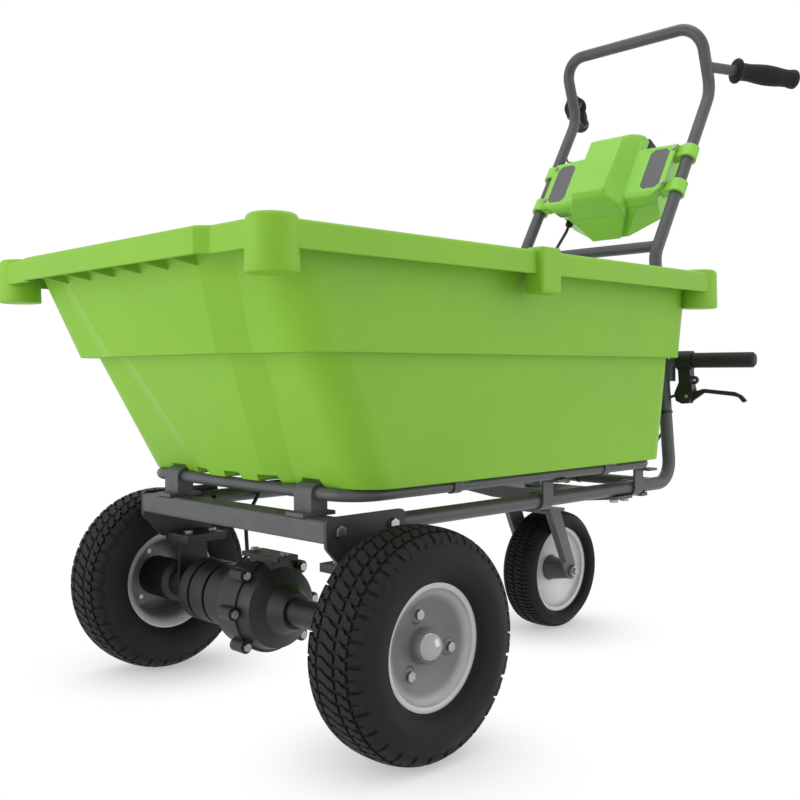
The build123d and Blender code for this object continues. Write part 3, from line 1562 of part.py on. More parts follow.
with BuildPart() as button:
    with BuildSketch(box_level(box_top + button_proud)):
        with Locations((control_x, control_n)):
            Circle(button_r)
    extrude(amount=button_proud + 2 * button_travel + 1)
    fillet(faces().sort_by(Axis(box_plane.origin, box_up))[-1].edges(), 1)
save("power_button", button.part)

# Throttle cable: from the throttle down the right leg of the handle and into the box's top
throttle_cable_r = throttle_cable_d / 2
throttle_exit = throttle_plane.from_local_coords(Vector(52, 3, throttle_len / 2))
throttle_drop = box_plane.to_local_coords(throttle_exit).Y - box_top
leg_clear = tube_r + throttle_cable_r + 2
throttle_run = [
    throttle_plane.from_local_coords(Vector(32, 3, throttle_len / 2)),
    throttle_exit,
    box_point(-hoop_x - leg_clear, box_top + 0.55 * throttle_drop, -8),
    box_point(-hoop_x + 4, box_top + 0.28 * throttle_drop, -leg_clear - 2),
    box_point(throttle_entry_x, box_top + 0.2 * throttle_drop, -leg_clear),
    box_point(throttle_entry_x, box_top, -leg_clear),
]
throttle_bends = [share * throttle_drop for share in (0.11, 0.25, 0.11, 0.08)]
throttle_cable = bent_tube(throttle_run, throttle_bends, throttle_cable_r)
save("throttle_cable", throttle_cable)

# Motor cable: out of the box's grommet, down the right leg, along the right rail and down to the motor
leg_side = Vector(18, 11, 0)
rail_side = Vector(9, 0, 15)
right_rail = flip(rail_corner)
gland_foot = axle_point + across * motor_gland_x
motor_run = [
    box_point(grommet_at[0], grommet_at[1] + 9, grommet_at[2]),
    box_point(grommet_at[0], grommet_at[1] - 24, grommet_at[2]),
    flip(on_leg(sleeve_joint_z + sleeve_len / 2)) + leg_side,
    flip(on_leg(rail_z + 1.5 * rail_bend)) + leg_side,
    Vector(right_rail.X + rail_side.X, aft(upright_y - 2 * rail_bend), rail_z + rail_side.Z),
    Vector(right_rail.X + rail_side.X, axle_y + motor_d + 40, rail_z + rail_side.Z),
    Vector(motor_gland_x - 14, axle_y + motor_d - 16, (rail_z + gland_foot.Z + motor_r) / 2 + 6),
    gland_foot + gland_out * (motor_r + 34),
    gland_foot + gland_out * (motor_r + gland_len),
]
motor_cable = bent_tube(motor_run, [16, 40, 40, 40, 30, 30, 12], motor_cable_r)
save("motor_cable", motor_cable)

# Release cable: from the lever's barrel down behind the left upright and along the rear tube to the latch
release_r = release_cable_d / 2
behind = lower_front * -(tube_r + release_r + part_gap)
tube_side = Vector(0, 6, 11)
release_run = [
    barrel_at + lower_dir * 20,
    on_leg(lower_grip_z - lever_pivot_drop) + behind,
    on_leg(rail_z + 102) + behind,
    Vector(rail_x - 41, aft(upright_y + 11), rail_z + 58),
    Vector(rail_x - 83, aft((upright_y + rear_tube_y) / 2 + 8), rail_z + 22),
    rear_tube_at + tube_side + across * 60,
    rear_tube_at + tube_side + across * (cheek_x + latch_cheek),
]
release_cable = bent_tube(release_run, [12, 30, 30, 30, 30], release_r)
save("release_cable", release_cable)

# Cable ties
along_rail = Vector(0, 1, 0)
release_tie = on_leg(rail_z + 120)
ties = [tie(release_tie, tube_r, release_tie + behind, release_r, leg_dir)]
ties.append(
    tie(rear_tube_at + across * 35, rear_tube_r, rear_tube_at + tube_side + across * 35, release_r, across)
)
ties += [
    tie(flip(on_leg(z)), tube_r, flip(on_leg(z)) + leg_side, motor_cable_r, flip(leg_dir))
    for z in (480.0, 430.0)
]
ties += [
    tie(
        Vector(right_rail.X, aft(y), rail_z),
        tube_r,
        Vector(right_rail.X, aft(y), rail_z) + rail_side,
        motor_cable_r,
        along_rail,
    )
    for y in (480.0, 250.0)
]
save("cable_ties", *ties)

# Bolts of the chassis, drive unit, handle and box
bolts = list(drive_bolts)
for y in (rail_bolt_y, aft(cross_rail_y)):
    piece = bolt(Vector(hanger_x + plate, y, rail_z), across, 8, 5, 4, plate + 6)
    bolts += [piece, mirrored(piece)]
for y in member_bolt_y:
    piece = bolt(Vector(rail_x, y, member_bottom), down, 8, 5, 4, plate)
    bolts += [piece, mirrored(piece)]
for seat in sleeve_seats:
    piece = bolt(seat, sleeve_out, 6, 4, 3, sleeve_wall)
    bolts += [piece, mirrored(piece)]
for s in lug_s:
    piece = bolt(box_point(screw_x, s, box_front), box_out, 4, 3, 2.5, box_front + ear_t)
    bolts += [piece, mirrored(piece)]
save("bolts", *bolts)
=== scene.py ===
"""Electric garden cart: finishes, wheels, grips, bosses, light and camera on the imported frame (metres)."""
import json
import math

import bmesh
import bpy
from mathutils import Matrix, Vector


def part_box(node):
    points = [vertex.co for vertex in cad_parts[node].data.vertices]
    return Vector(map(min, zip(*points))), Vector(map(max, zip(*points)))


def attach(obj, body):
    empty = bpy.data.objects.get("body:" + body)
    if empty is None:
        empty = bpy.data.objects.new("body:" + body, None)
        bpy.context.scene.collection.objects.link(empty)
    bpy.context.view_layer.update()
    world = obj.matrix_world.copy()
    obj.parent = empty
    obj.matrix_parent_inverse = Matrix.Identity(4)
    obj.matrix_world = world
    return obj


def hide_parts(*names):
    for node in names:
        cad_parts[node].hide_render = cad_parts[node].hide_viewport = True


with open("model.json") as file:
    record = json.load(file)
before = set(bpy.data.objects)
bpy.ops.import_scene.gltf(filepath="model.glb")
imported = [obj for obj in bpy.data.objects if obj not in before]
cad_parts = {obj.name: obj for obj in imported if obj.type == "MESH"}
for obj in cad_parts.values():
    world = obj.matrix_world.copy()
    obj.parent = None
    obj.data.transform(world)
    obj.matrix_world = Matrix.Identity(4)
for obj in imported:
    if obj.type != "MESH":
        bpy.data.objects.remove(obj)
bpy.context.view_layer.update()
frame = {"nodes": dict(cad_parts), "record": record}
nodes = frame["nodes"]
HANDS = {"left": 1, "right": -1}


# Places and sizes from the frame
def middle(node):
    """The middle of a CAD node's box."""
    low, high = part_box(node)
    return (low + high) / 2


def half_size(node):
    """Half the size of a CAD node's box along each axis."""
    low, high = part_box(node)
    return (high - low) / 2


DRIVE_AXLE = middle("rim_left")
CASTER_AXLE = middle("caster_rim")


# Shader nodes
def fill(tree, node, inputs):
    """Gives a node's inputs plain values, or links them to other nodes' outputs."""
    for name, value in inputs.items():
        if isinstance(value, bpy.types.NodeSocket):
            tree.links.new(value, node.inputs[name])
        else:
            node.inputs[name].default_value = value


def add_node(tree, kind, inputs, **settings):
    """A new shader node. Its settings come first, because they decide which inputs it has."""
    node = tree.nodes.new(kind)
    for name, value in settings.items():
        setattr(node, name, value)
    fill(tree, node, inputs)
    return node


# Finishes: each is a principled shader with mottled colour, uneven gloss, a surface grain and softened edges
PATCH_DETAIL, PATCH_ROUGHNESS = 5.0, 0.62
TINT_FROM, TINT_TO = 0.32, 0.70
GLOSS_FROM, GLOSS_TO = 0.3, 0.7
SPECK_RATIO, SPECK_DETAIL = 7, 8.0
SPECK_FROM, SPECK_TO = 0.52, 0.78
GRAIN_DETAIL, GRAIN_STRENGTH = 3.0, 0.6
EDGE_SAMPLES = 6
BLACK, WHITE = (0, 0, 0, 1), (1, 1, 1, 1)
OFF_AXLE = (0, 1, 1)


def grey(level, blue=0.0):
    """A grey with a touch of blue."""
    return (level, level, level + blue)


def dusted(tree, place, colour, mottle, tone, share):
    """Lays specks of dust over a colour, each with at most a share of its tone."""
    specks = add_node(tree, "ShaderNodeTexNoise", {
        "Vector": place, "Scale": mottle * SPECK_RATIO, "Detail": SPECK_DETAIL,
    })
    mask = add_node(tree, "ShaderNodeMapRange", {
        "Value": specks.outputs["Fac"], "From Min": SPECK_FROM, "From Max": SPECK_TO, "To Max": share,
    })
    lay = add_node(tree, "ShaderNodeMix", {
        "Factor": mask.outputs["Result"], "A": colour, "B": (*tone, 1),
    }, data_type="RGBA")
    return lay.outputs["Result"]


def painted_shade_and_dark_hub(tree, place, colour, axle, floor_r, lip_r, share):
    """Darkens a wheel's colour towards its axle: a share of it is left up to floor_r, all of it from lip_r.
    On the drive rims this is painted shade and painted reflection in the deep dish, on the caster the hub's
    dark colour.
    """
    arm = add_node(tree, "ShaderNodeVectorMath", {0: place, 1: axle}, operation="SUBTRACT")
    spoke = add_node(tree, "ShaderNodeVectorMath", {
        0: arm.outputs["Vector"], 1: OFF_AXLE,
    }, operation="MULTIPLY")
    length = add_node(tree, "ShaderNodeVectorMath", {0: spoke.outputs["Vector"]}, operation="LENGTH")
    level = add_node(tree, "ShaderNodeMapRange", {
        "Value": length.outputs["Value"], "From Min": floor_r, "From Max": lip_r, "To Min": share,
    }, interpolation_type="SMOOTHSTEP")
    dim = add_node(tree, "ShaderNodeMix", {
        "Factor": level.outputs["Result"], "A": BLACK, "B": colour,
    }, data_type="RGBA")
    return dim.outputs["Result"]


def finish(name, dark, light, rough, metallic=0.0, mottle=18.0, grain=900.0, grain_depth=0.00012,
           specular=0.5, dust=None, edge=0.0008, painted_dish_shade_and_hub=None):
    """A procedural material. dark and light are the ends of its mottling, rough the ends of its roughness,
    edge the radius of its softened edges, dust the last values of dusted, and the last argument the axle,
    radii and share of the darkening towards a wheel's axle, which paints shade and reflection into the drive
    rims' dish and darkens the caster's hub."""
    material = bpy.data.materials.new(name)
    material.use_nodes = True
    tree = material.node_tree
    place = add_node(tree, "ShaderNodeTexCoord", {}).outputs["Object"]
    patches = add_node(tree, "ShaderNodeTexNoise", {
        "Vector": place, "Scale": mottle, "Detail": PATCH_DETAIL, "Roughness": PATCH_ROUGHNESS,
    }).outputs["Fac"]
    tint = add_node(tree, "ShaderNodeValToRGB", {"Fac": patches})
    start, end = tint.color_ramp.elements
    start.position = TINT_FROM
    start.color = (*dark, 1)
    end.position = TINT_TO
    end.color = (*light, 1)
    colour = tint.outputs["Color"]
    if dust:
        colour = dusted(tree, place, colour, mottle, *dust)
    # Darkening towards a wheel's axle: painted shade and painted reflection in the drive rims' dish, the dark
    # hub on the caster
    if painted_dish_shade_and_hub:
        colour = painted_shade_and_dark_hub(tree, place, colour, *painted_dish_shade_and_hub)
    gloss = add_node(tree, "ShaderNodeMapRange", {
        "Value": patches, "From Min": GLOSS_FROM, "From Max": GLOSS_TO,
        "To Min": rough[0], "To Max": rough[1],
    })
    fine = add_node(tree, "ShaderNodeTexNoise", {"Vector": place, "Scale": grain, "Detail": GRAIN_DETAIL})
    soft = add_node(tree, "ShaderNodeBevel", {"Radius": edge}, samples=EDGE_SAMPLES)
    bump = add_node(tree, "ShaderNodeBump", {
        "Height": fine.outputs["Fac"], "Strength": GRAIN_STRENGTH, "Distance": grain_depth,
        "Normal": soft.outputs["Normal"],
    })
    fill(tree, tree.nodes["Principled BSDF"], {
        "Base Color": colour, "Metallic": metallic, "Roughness": gloss.outputs["Result"],
        "Specular IOR Level": specular, "Normal": bump.outputs["Normal"],
    })
    return material


# The first twelve are the record's material slots, and the rest are for single nodes
FINISHES = {
    "tub_green": dict(
        dark=(0.205, 0.455, 0.025), light=(0.235, 0.500, 0.034), rough=(0.42, 0.56),
        mottle=7, grain=700, grain_depth=0.00022, specular=0.30, edge=0.0025),
    "box_green": dict(
        dark=(0.240, 0.565, 0.056), light=(0.275, 0.610, 0.072), rough=(0.30, 0.42),
        mottle=11, grain=800, specular=0.4, edge=0.0035),
    "panel_grey": dict(
        dark=grey(0.095, 0.010), light=grey(0.120, 0.010), rough=(0.45, 0.60), grain=1500),
    "frame_grey": dict(
        dark=grey(0.063, 0.005), light=grey(0.086, 0.006), rough=(0.34, 0.48),
        mottle=30, grain=1300, grain_depth=0.00010, specular=0.4),
    "drive_black": dict(
        dark=grey(0.0075, 0.0007), light=grey(0.0165, 0.0015), rough=(0.40, 0.55),
        mottle=40, grain=700, grain_depth=0.00020, specular=0.4),
    "bright_steel": dict(
        dark=grey(0.30, 0.01), light=grey(0.40, 0.01), rough=(0.26, 0.40),
        metallic=1.0, mottle=60, grain=1800, grain_depth=0.00005),
    "tyre": dict(
        dark=grey(0.0060, 0.0008), light=grey(0.0105, 0.0010), rough=(0.62, 0.78),
        mottle=26, grain=1100, grain_depth=0.00020, specular=0.26, dust=(grey(0.022), 0.25)),
    # The drive rims' dish is darkened towards the axle: painted shade and painted reflection
    "rim_grey": dict(
        dark=grey(0.46, 0.02), light=grey(0.54, 0.02), rough=(0.34, 0.48),
        metallic=0.25, mottle=35, grain=1200, grain_depth=0.00008, painted_dish_shade_and_hub=(DRIVE_AXLE, 0.054, 0.0715, 0.29)),
    "grip_rubber": dict(
        dark=grey(0.0042), light=grey(0.0078), rough=(0.55, 0.72),
        mottle=50, grain=1600, grain_depth=0.00018, specular=0.25),
    "black_plastic": dict(
        dark=grey(0.007, 0.001), light=grey(0.014, 0.001), rough=(0.38, 0.52),
        mottle=40, grain=1400, specular=0.35),
    "cable_black": dict(
        dark=grey(0.009), light=grey(0.017), rough=(0.40, 0.55), mottle=80, grain=1500),
    "cable_grey": dict(
        dark=grey(0.17, 0.01), light=grey(0.23, 0.01), rough=(0.38, 0.52), mottle=80, grain=1500),
    "caster_rim_grey": dict(
        dark=grey(0.54, 0.015), light=grey(0.62, 0.015), rough=(0.34, 0.48),
        metallic=0.2, mottle=35, grain=1200, grain_depth=0.00008, painted_dish_shade_and_hub=(CASTER_AXLE, 0.0215, 0.0250, 0.16)),
    "fork_grey": dict(
        dark=grey(0.098, 0.007), light=grey(0.130, 0.008), rough=(0.34, 0.48),
        mottle=30, grain=1300, grain_depth=0.00010, specular=0.4),
    "hanger_black": dict(
        dark=grey(0.022, 0.002), light=grey(0.034, 0.002), rough=(0.40, 0.55),
        mottle=35, grain=1000, grain_depth=0.00015, specular=0.4),
    "cap_steel": dict(
        dark=grey(0.33, 0.01), light=grey(0.37, 0.01), rough=(0.15, 0.20),
        metallic=0.65, mottle=45, grain=1800, grain_depth=0.000002, specular=0.7),
    "lower_grip_rubber": dict(
        dark=grey(0.0115), light=grey(0.0180), rough=(0.50, 0.66),
        mottle=50, grain=1600, grain_depth=0.00018, specular=0.3),
}
NODE_LOOKS = {
    "caster_rim": "caster_rim_grey",
    "caster_fork": "fork_grey",
    "axle_hanger_left": "hanger_black",
    "axle_hanger_right": "hanger_black",
    "hub_cap_left": "cap_steel",
    "hub_cap_right": "cap_steel",
    "lower_grip": "lower_grip_rubber",
}
looks = {name: finish(name, **values) for name, values in FINISHES.items()}
for part in frame["record"]["subparts"]:
    mesh = nodes[part["node"]].data
    mesh.materials.clear()
    mesh.materials.append(looks[NODE_LOOKS.get(part["node"], part["material_slot"])])


# Mesh helpers
WELD = 1e-6


def piece(name, bm, body, slot, replaced=(), look=None, sharp=35.0):
    """Makes a mesh into a shown piece that rides a body and stands for the CAD nodes it replaces."""
    mesh = bpy.data.meshes.new(name)
    bmesh.ops.recalc_face_normals(bm, faces=bm.faces)
    bm.to_mesh(mesh)
    bm.free()
    obj = bpy.data.objects.new(name, mesh)
    bpy.context.collection.objects.link(obj)
    mesh.materials.append(looks[look or slot])
    mesh.shade_smooth()
    mesh.set_sharp_from_angle(angle=math.radians(sharp))
    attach(obj, body)
    if replaced:
        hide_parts(*replaced)
    return obj


def lathe(bm, profile, place, steps):
    """Turns a profile of (along, radius) points about place's X axis. It is closed, or ends on the axis."""
    rings = []
    for k in range(steps):
        turn = 2 * math.pi * k / steps
        rings.append([
            bm.verts.new(place @ Vector((x, r * math.cos(turn), r * math.sin(turn)))) for x, r in profile
        ])
    count = len(profile)
    for k in range(steps):
        here, after = rings[k], rings[(k + 1) % steps]
        for j in range(count):
            if profile[j][1] or profile[(j + 1) % count][1]:
                bm.faces.new((here[j], here[(j + 1) % count], after[(j + 1) % count], after[j]))
    tips = [ring[j] for ring in rings for j in range(count) if not profile[j][1]]
    bmesh.ops.remove_doubles(bm, verts=tips, dist=WELD)


def between(points, share):
    """A smooth curve through points, read at a share from 0 to 1 of its length in points."""
    span = share * (len(points) - 1)
    k = min(int(span), len(points) - 2)
    t = span - k
    a, b = Vector(points[k]), Vector(points[k + 1])
    before = Vector(points[k - 1]) if k else a - (b - a)
    after = Vector(points[k + 2]) if k + 2 < len(points) else b + (b - a)
    return 0.5 * (2 * a + (b - before) * t + (2 * before - 5 * a + 4 * b - after) * t ** 2
                  + (3 * a - before - 3 * b + after) * t ** 3)


def curve(points, steps):
    """The same smooth curve, read at even steps from end to end."""
    return [between(points, k / steps) for k in range(steps + 1)]


def facing_out(centre, hand):
    """A place whose X axis points out of the cart on one hand."""
    return Matrix.Translation(centre) @ Matrix.Scale(HANDS[hand], 4, (1, 0, 0))


# Control box: its moulded shells with the edges between their large faces rounded
BACKWARD = Vector((0, 0.86, -0.51))
SAME_FACE, LEAST_TURN = math.radians(0.5), math.radians(12)
SEAM_FACING = 0.9
ROUND_STEPS, ROUND_PROFILE = 5, 0.5


def moulded(name, node, radius, small, seam):
    """A copy of a shell with its outer edges rounded, except round small faces and those along the seam."""
    bm = bmesh.new()
    bm.from_mesh(nodes[node].data)
    bmesh.ops.remove_doubles(bm, verts=bm.verts, dist=WELD)
    bmesh.ops.dissolve_limit(bm, angle_limit=SAME_FACE, verts=bm.verts, edges=bm.edges)
    large = [
        edge for edge in bm.edges
        if edge.calc_face_angle_signed() > LEAST_TURN
        and all(face.calc_area() > small and face.normal.dot(seam) < SEAM_FACING for face in edge.link_faces)
    ]
    bmesh.ops.bevel(bm, geom=large, offset=radius, segments=ROUND_STEPS, profile=ROUND_PROFILE,
                    affect="EDGES", clamp_overlap=False)
    shell = piece(name, bm, "chassis", "box_green", [node], sharp=30)
    flat = shell.modifiers.new("flat", "WEIGHTED_NORMAL")
    flat.keep_sharp = True


moulded("rounded_box_front", "box_front_shell", radius=0.007, small=0.0003, seam=BACKWARD)
moulded("rounded_box_back", "box_back_shell", radius=0.005, small=0.0008, seam=-BACKWARD)

# Hub caps: plain domes on the hubs
CAP_R, CAP_SKIRT, CAP_RISE, CAP_STEPS = 0.0222, 0.0030, 0.0205, 14
cap_turns = [math.pi / 2 * k / CAP_STEPS for k in range(CAP_STEPS)]
CAP_DOME = [(0.0, 0.0), (0.0, CAP_R)]
CAP_DOME += [(CAP_SKIRT + CAP_RISE * math.sin(turn), CAP_R * math.cos(turn)) for turn in cap_turns]
CAP_DOME += [(CAP_SKIRT + CAP_RISE, 0.0)]
for hand in HANDS:
    low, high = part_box(f"hub_cap_{hand}")
    seat = Vector((low.x if hand == "left" else high.x, DRIVE_AXLE.y, DRIVE_AXLE.z))
    bm = bmesh.new()
    lathe(bm, CAP_DOME, facing_out(seat, hand), steps=64)
    piece(f"hub_dome_{hand}", bm, f"wheel_{hand}", "bright_steel", [f"hub_cap_{hand}"],
          look="cap_steel", sharp=50)

# Rims: thin rolled lips, a flare that runs down to the disc like a bowl, and an open mouth behind
RIM_WALL, RIM_HOLE = 0.0035, 0.0165
FLARE_STEPS, RIM_STEPS = 32, 128
DRIVE_RIM_HALF, DRIVE_FACE = half_size("rim_left").x, 0.016
CASTER_RIM_HALF, CASTER_FACE = 0.022, 0.0
# Each point is the way in from the lip's edge and the radius. FLARE's way in is a share of the dish's depth
LIP = [(0.0025, 0.0760), (0.0010, 0.0760), (0.0002, 0.0755), (0.0, 0.0745)]
FLARE = [(0.0, 0.0745), (0.01, 0.0715), (0.06, 0.0690), (0.26, 0.0672), (0.44, 0.0640), (0.60, 0.0580),
         (0.78, 0.0485), (0.92, 0.0390), (1.0, 0.0300)]
MOUTH = [(0.0, 0.0745), (0.0010, 0.0720), (0.0040, 0.0670), (0.0080, 0.0630), (0.0140, 0.0600)]
SEAT = [(0.0065, 0.0702), (0.0045, 0.0707)]
BARREL_R = MOUTH[-1][1]
PADS, PAD_TURN, PAD_RING = 3, math.radians(108), 0.041
PAD = [(0.0145, 0.0), (0.0145, 0.0135), (0.0170, 0.0116), (0.0190, 0.0100), (0.0198, 0.0090),
       (0.0200, 0.0078), (0.0200, 0.0)]
CASTER_HUB = [(0.0405, 0.0064), (0.0405, 0.0145), (0.0080, 0.0205), (-0.0080, 0.0205), (-0.0405, 0.0145),
              (-0.0405, 0.0064)]


def bowl_rim(bm, place, half, face):
    """A pressed rim, by half its width and the place of its disc's outer face from its middle."""
    dish = [(half - (half - face) * p.x, p.y) for p in curve(FLARE, FLARE_STEPS)]
    back = [(x - RIM_WALL, r) for x, r in reversed(dish) if r < BARREL_R]
    section = [(half - x, r) for x, r in LIP] + dish[1:]
    section += [(face, RIM_HOLE), (face - RIM_WALL, RIM_HOLE)] + back
    section += [(p.x - half, p.y) for p in reversed(curve(MOUTH, FLARE_STEPS))]
    section += [(x - half, r) for x, r in reversed(SEAT + LIP[:-1])]
    section += [(half - x, r) for x, r in SEAT]
    lathe(bm, section, place, RIM_STEPS)


for hand in HANDS:
    place = facing_out(middle(f"rim_{hand}"), hand)
    bm = bmesh.new()
    bowl_rim(bm, place, DRIVE_RIM_HALF, DRIVE_FACE)
    for k in range(PADS):
        turn = PAD_TURN + 2 * math.pi * k / PADS
        spoke = Vector((0, PAD_RING * math.cos(turn), PAD_RING * math.sin(turn)))
        lathe(bm, PAD, place @ Matrix.Translation(spoke), steps=40)
    piece(f"bowl_rim_{hand}", bm, f"wheel_{hand}", "rim_grey", [f"rim_{hand}"])
place = Matrix.Translation(CASTER_AXLE)
bm = bmesh.new()
bowl_rim(bm, place, CASTER_RIM_HALF, CASTER_FACE)
lathe(bm, CASTER_HUB, place, steps=64)
piece("bowl_rim_caster", bm, "caster_wheel", "rim_grey", ["caster_rim"], look="caster_rim_grey")

# Tyres: the side curve runs from the crown out to the rim's lip, as shares of half width and wall height
SIDEWALL = [(0.0, 0.0), (0.36, 0.02), (0.66, 0.09), (0.88, 0.27), (0.985, 0.52), (0.96, 0.72), (0.84, 0.90)]
SIDE_STEPS, TYRE_STEPS = 40, 144
SLOPE_REACH = 0.01
# The bead's points are measured from the lip's edge and radius
BEAD = [(0.0008, 0.0006), (-0.0030, -0.0045)]
# A block's root is sunk in the carcass, and wider than its top
ROOT_SINK, ROOT_SPREAD, TOP_SPREAD = 0.0015, 1.06, 0.88


def tread_block(bm, place, side, depth, stations, turn):
    """A tapered block laid over the side curve at a turn. Each station across it has its share of the curve,
    its drift round the tyre and half width in metres, and its share of the tread's depth."""
    loops = []
    for share, drift, half_w, tall in stations:
        hand = -1 if share < 0 else 1
        reach = abs(share)
        ahead = between(side, reach + SLOPE_REACH) - between(side, max(reach - SLOPE_REACH, 0))
        out = Vector((-ahead.y, ahead.x)).normalized()
        loop = []
        for lift, spread in ((-ROOT_SINK, ROOT_SPREAD), (depth * tall, TOP_SPREAD)):
            spot = between(side, reach) + out * lift
            for edge in (-1, 1):
                angle = turn + (drift + edge * half_w * spread) / spot.y
                corner = Vector((hand * spot.x, spot.y * math.cos(angle), spot.y * math.sin(angle)))
                loop.append(bm.verts.new(place @ corner))
        loops.append(loop)
    for one, two in zip(loops, loops[1:]):
        for i, j in ((0, 1), (1, 3), (3, 2), (2, 0)):
            bm.faces.new((one[i], one[j], two[j], two[i]))
    for end in (loops[0], loops[-1]):
        bm.faces.new((end[0], end[1], end[3], end[2]))


def tyre(name, body, node, rim, rim_half, depth, pitches, rows):
    """A carcass with rubber blocks. Each row has its blocks per pitch, their shift and a block's stations."""
    half = half_size(node)
    lip_r = half_size(rim).z
    crown = half.z - depth
    side = [(half.x * x, crown - (crown - lip_r) * drop) for x, drop in SIDEWALL]
    side += [(rim_half + x, lip_r + r) for x, r in BEAD]
    outer = [(p.x, p.y) for p in curve(side, SIDE_STEPS)]
    section = [(-x, r) for x, r in reversed(outer)] + outer[1:]
    place = Matrix.Translation(middle(node))
    bm = bmesh.new()
    lathe(bm, section, place, TYRE_STEPS)
    for per_pitch, shift, stations in rows:
        step = 2 * math.pi / pitches / per_pitch
        for k in range(pitches * per_pitch):
            tread_block(bm, place, side, depth, stations, (k + shift) * step)
    piece(name, bm, body, "tyre", [node], sharp=40)


def both_hands(per_pitch, shift, stations):
    """A row and its other-hand twin, half a step out of line with it."""
    twin = [(-share, -drift, half_w, tall) for share, drift, half_w, tall in stations]
    return [(per_pitch, shift, stations), (per_pitch, shift + 0.5, twin)]


CENTRE = [(-0.085, -0.0050, 0.0046, 1.0), (-0.030, -0.0030, 0.0058, 1.0), (0.030, 0.0030, 0.0058, 1.0),
          (0.085, 0.0050, 0.0046, 1.0)]
MIDDLE = [(0.112, 0.0000, 0.0050, 1.0), (0.150, 0.0006, 0.0056, 1.0), (0.175, 0.0052, 0.0056, 1.0),
          (0.215, 0.0062, 0.0048, 1.0)]
LONG = [(0.243, 0.0, 0.0058, 1.0), (0.290, 0.0010, 0.0066, 1.0), (0.330, 0.0014, 0.0064, 0.9),
        (0.372, 0.0016, 0.0050, 0.10)]
SHORT = [(0.243, 0.0, 0.0052, 1.0), (0.285, -0.0008, 0.0062, 1.0), (0.315, -0.0010, 0.0060, 0.85),
         (0.350, -0.0010, 0.0048, 0.10)]
RIB = [(0.030, 0.0, 0.0022, 1.0), (0.090, 0.0012, 0.0024, 1.0), (0.150, 0.0024, 0.0022, 1.0)]
TOOTH = [(0.180, 0.0, 0.0024, 1.0), (0.240, 0.0, 0.0024, 1.0), (0.300, 0.0, 0.0020, 0.2)]
DRIVE_TREAD = [(2, 0.0, CENTRE)]
DRIVE_TREAD += both_hands(2, 0.25, MIDDLE) + both_hands(1, 0.10, LONG) + both_hands(1, 0.60, SHORT)
CASTER_TREAD = both_hands(1, 0.0, RIB) + both_hands(1, 0.25, TOOTH)
for hand in HANDS:
    tyre(f"lugged_tyre_{hand}", f"wheel_{hand}", f"tyre_{hand}", f"rim_{hand}", DRIVE_RIM_HALF,
         depth=0.0036, pitches=30, rows=DRIVE_TREAD)
tyre("caster_tread", "caster_wheel", "caster_tyre", "caster_rim", CASTER_RIM_HALF,
     depth=0.0032, pitches=84, rows=CASTER_TREAD)

# Grips: the upper two share the throttle's axis and its mirror image
GRIP_START = 0.060
RIDGES, RIDGE_H, RIDGE_STEPS = 16, 0.0006, 6
# Each point is the way along the tube from the grip's start and the radius
FLANGE = [(0.000, 0.0), (0.000, 0.0205), (0.0012, 0.0225), (0.0036, 0.0235), (0.0062, 0.0230),
          (0.0088, 0.0205), (0.0112, 0.0176)]
HAND = [(0.0160, 0.0164), (0.0300, 0.0162), (0.0460, 0.0178), (0.0620, 0.0190), (0.0740, 0.0190),
        (0.0880, 0.0182), (0.1020, 0.0168), (0.1120, 0.0163)]
KNOB = [(0.1190, 0.0172), (0.1260, 0.0182), (0.1300, 0.0176), (0.1325, 0.0150), (0.1330, 0.0100),
        (0.1330, 0.0)]
ridged = [
    (p.x, p.y - RIDGE_H * (k % RIDGE_STEPS == 0)) for k, p in enumerate(curve(HAND, RIDGES * RIDGE_STEPS))
]
GRIP = [(GRIP_START + x, r) for x, r in FLANGE + ridged + KNOB]
throttle = next(joint for joint in frame["record"]["behaviour"]["joints"] if "throttle" in joint["name"])
for node, mirror in (("grip_right", 1), ("grip_left", -1)):
    root, along = Vector(throttle["pos_m"]), Vector(throttle["axis"])
    root.x *= mirror
    along.x *= mirror
    turn = Vector((1, 0, 0)).rotation_difference(along).to_matrix().to_4x4()
    bm = bmesh.new()
    lathe(bm, GRIP, Matrix.Translation(root) @ turn, steps=64)
    piece(f"soft_{node}", bm, "chassis", "grip_rubber", [node], sharp=40)

# Bosses that stand a little above the tub's rim: round at the corners, square at the sides
CORNER_IN, CORNER_FRONT, CORNER_BACK = 0.030, 0.036, 0.888
SIDE_IN, SIDE_FRONT, SIDE_DROP, SIDE_ROUND = 0.0115, 0.460, 0.026, 0.0045
SIDE_BOSS = Vector((0.030, 0.041, 0.060))
UPRIGHT = Matrix(((0, 1, 0, 0), (0, 0, 1, 0), (1, 0, 0, 0), (0, 0, 0, 1)))
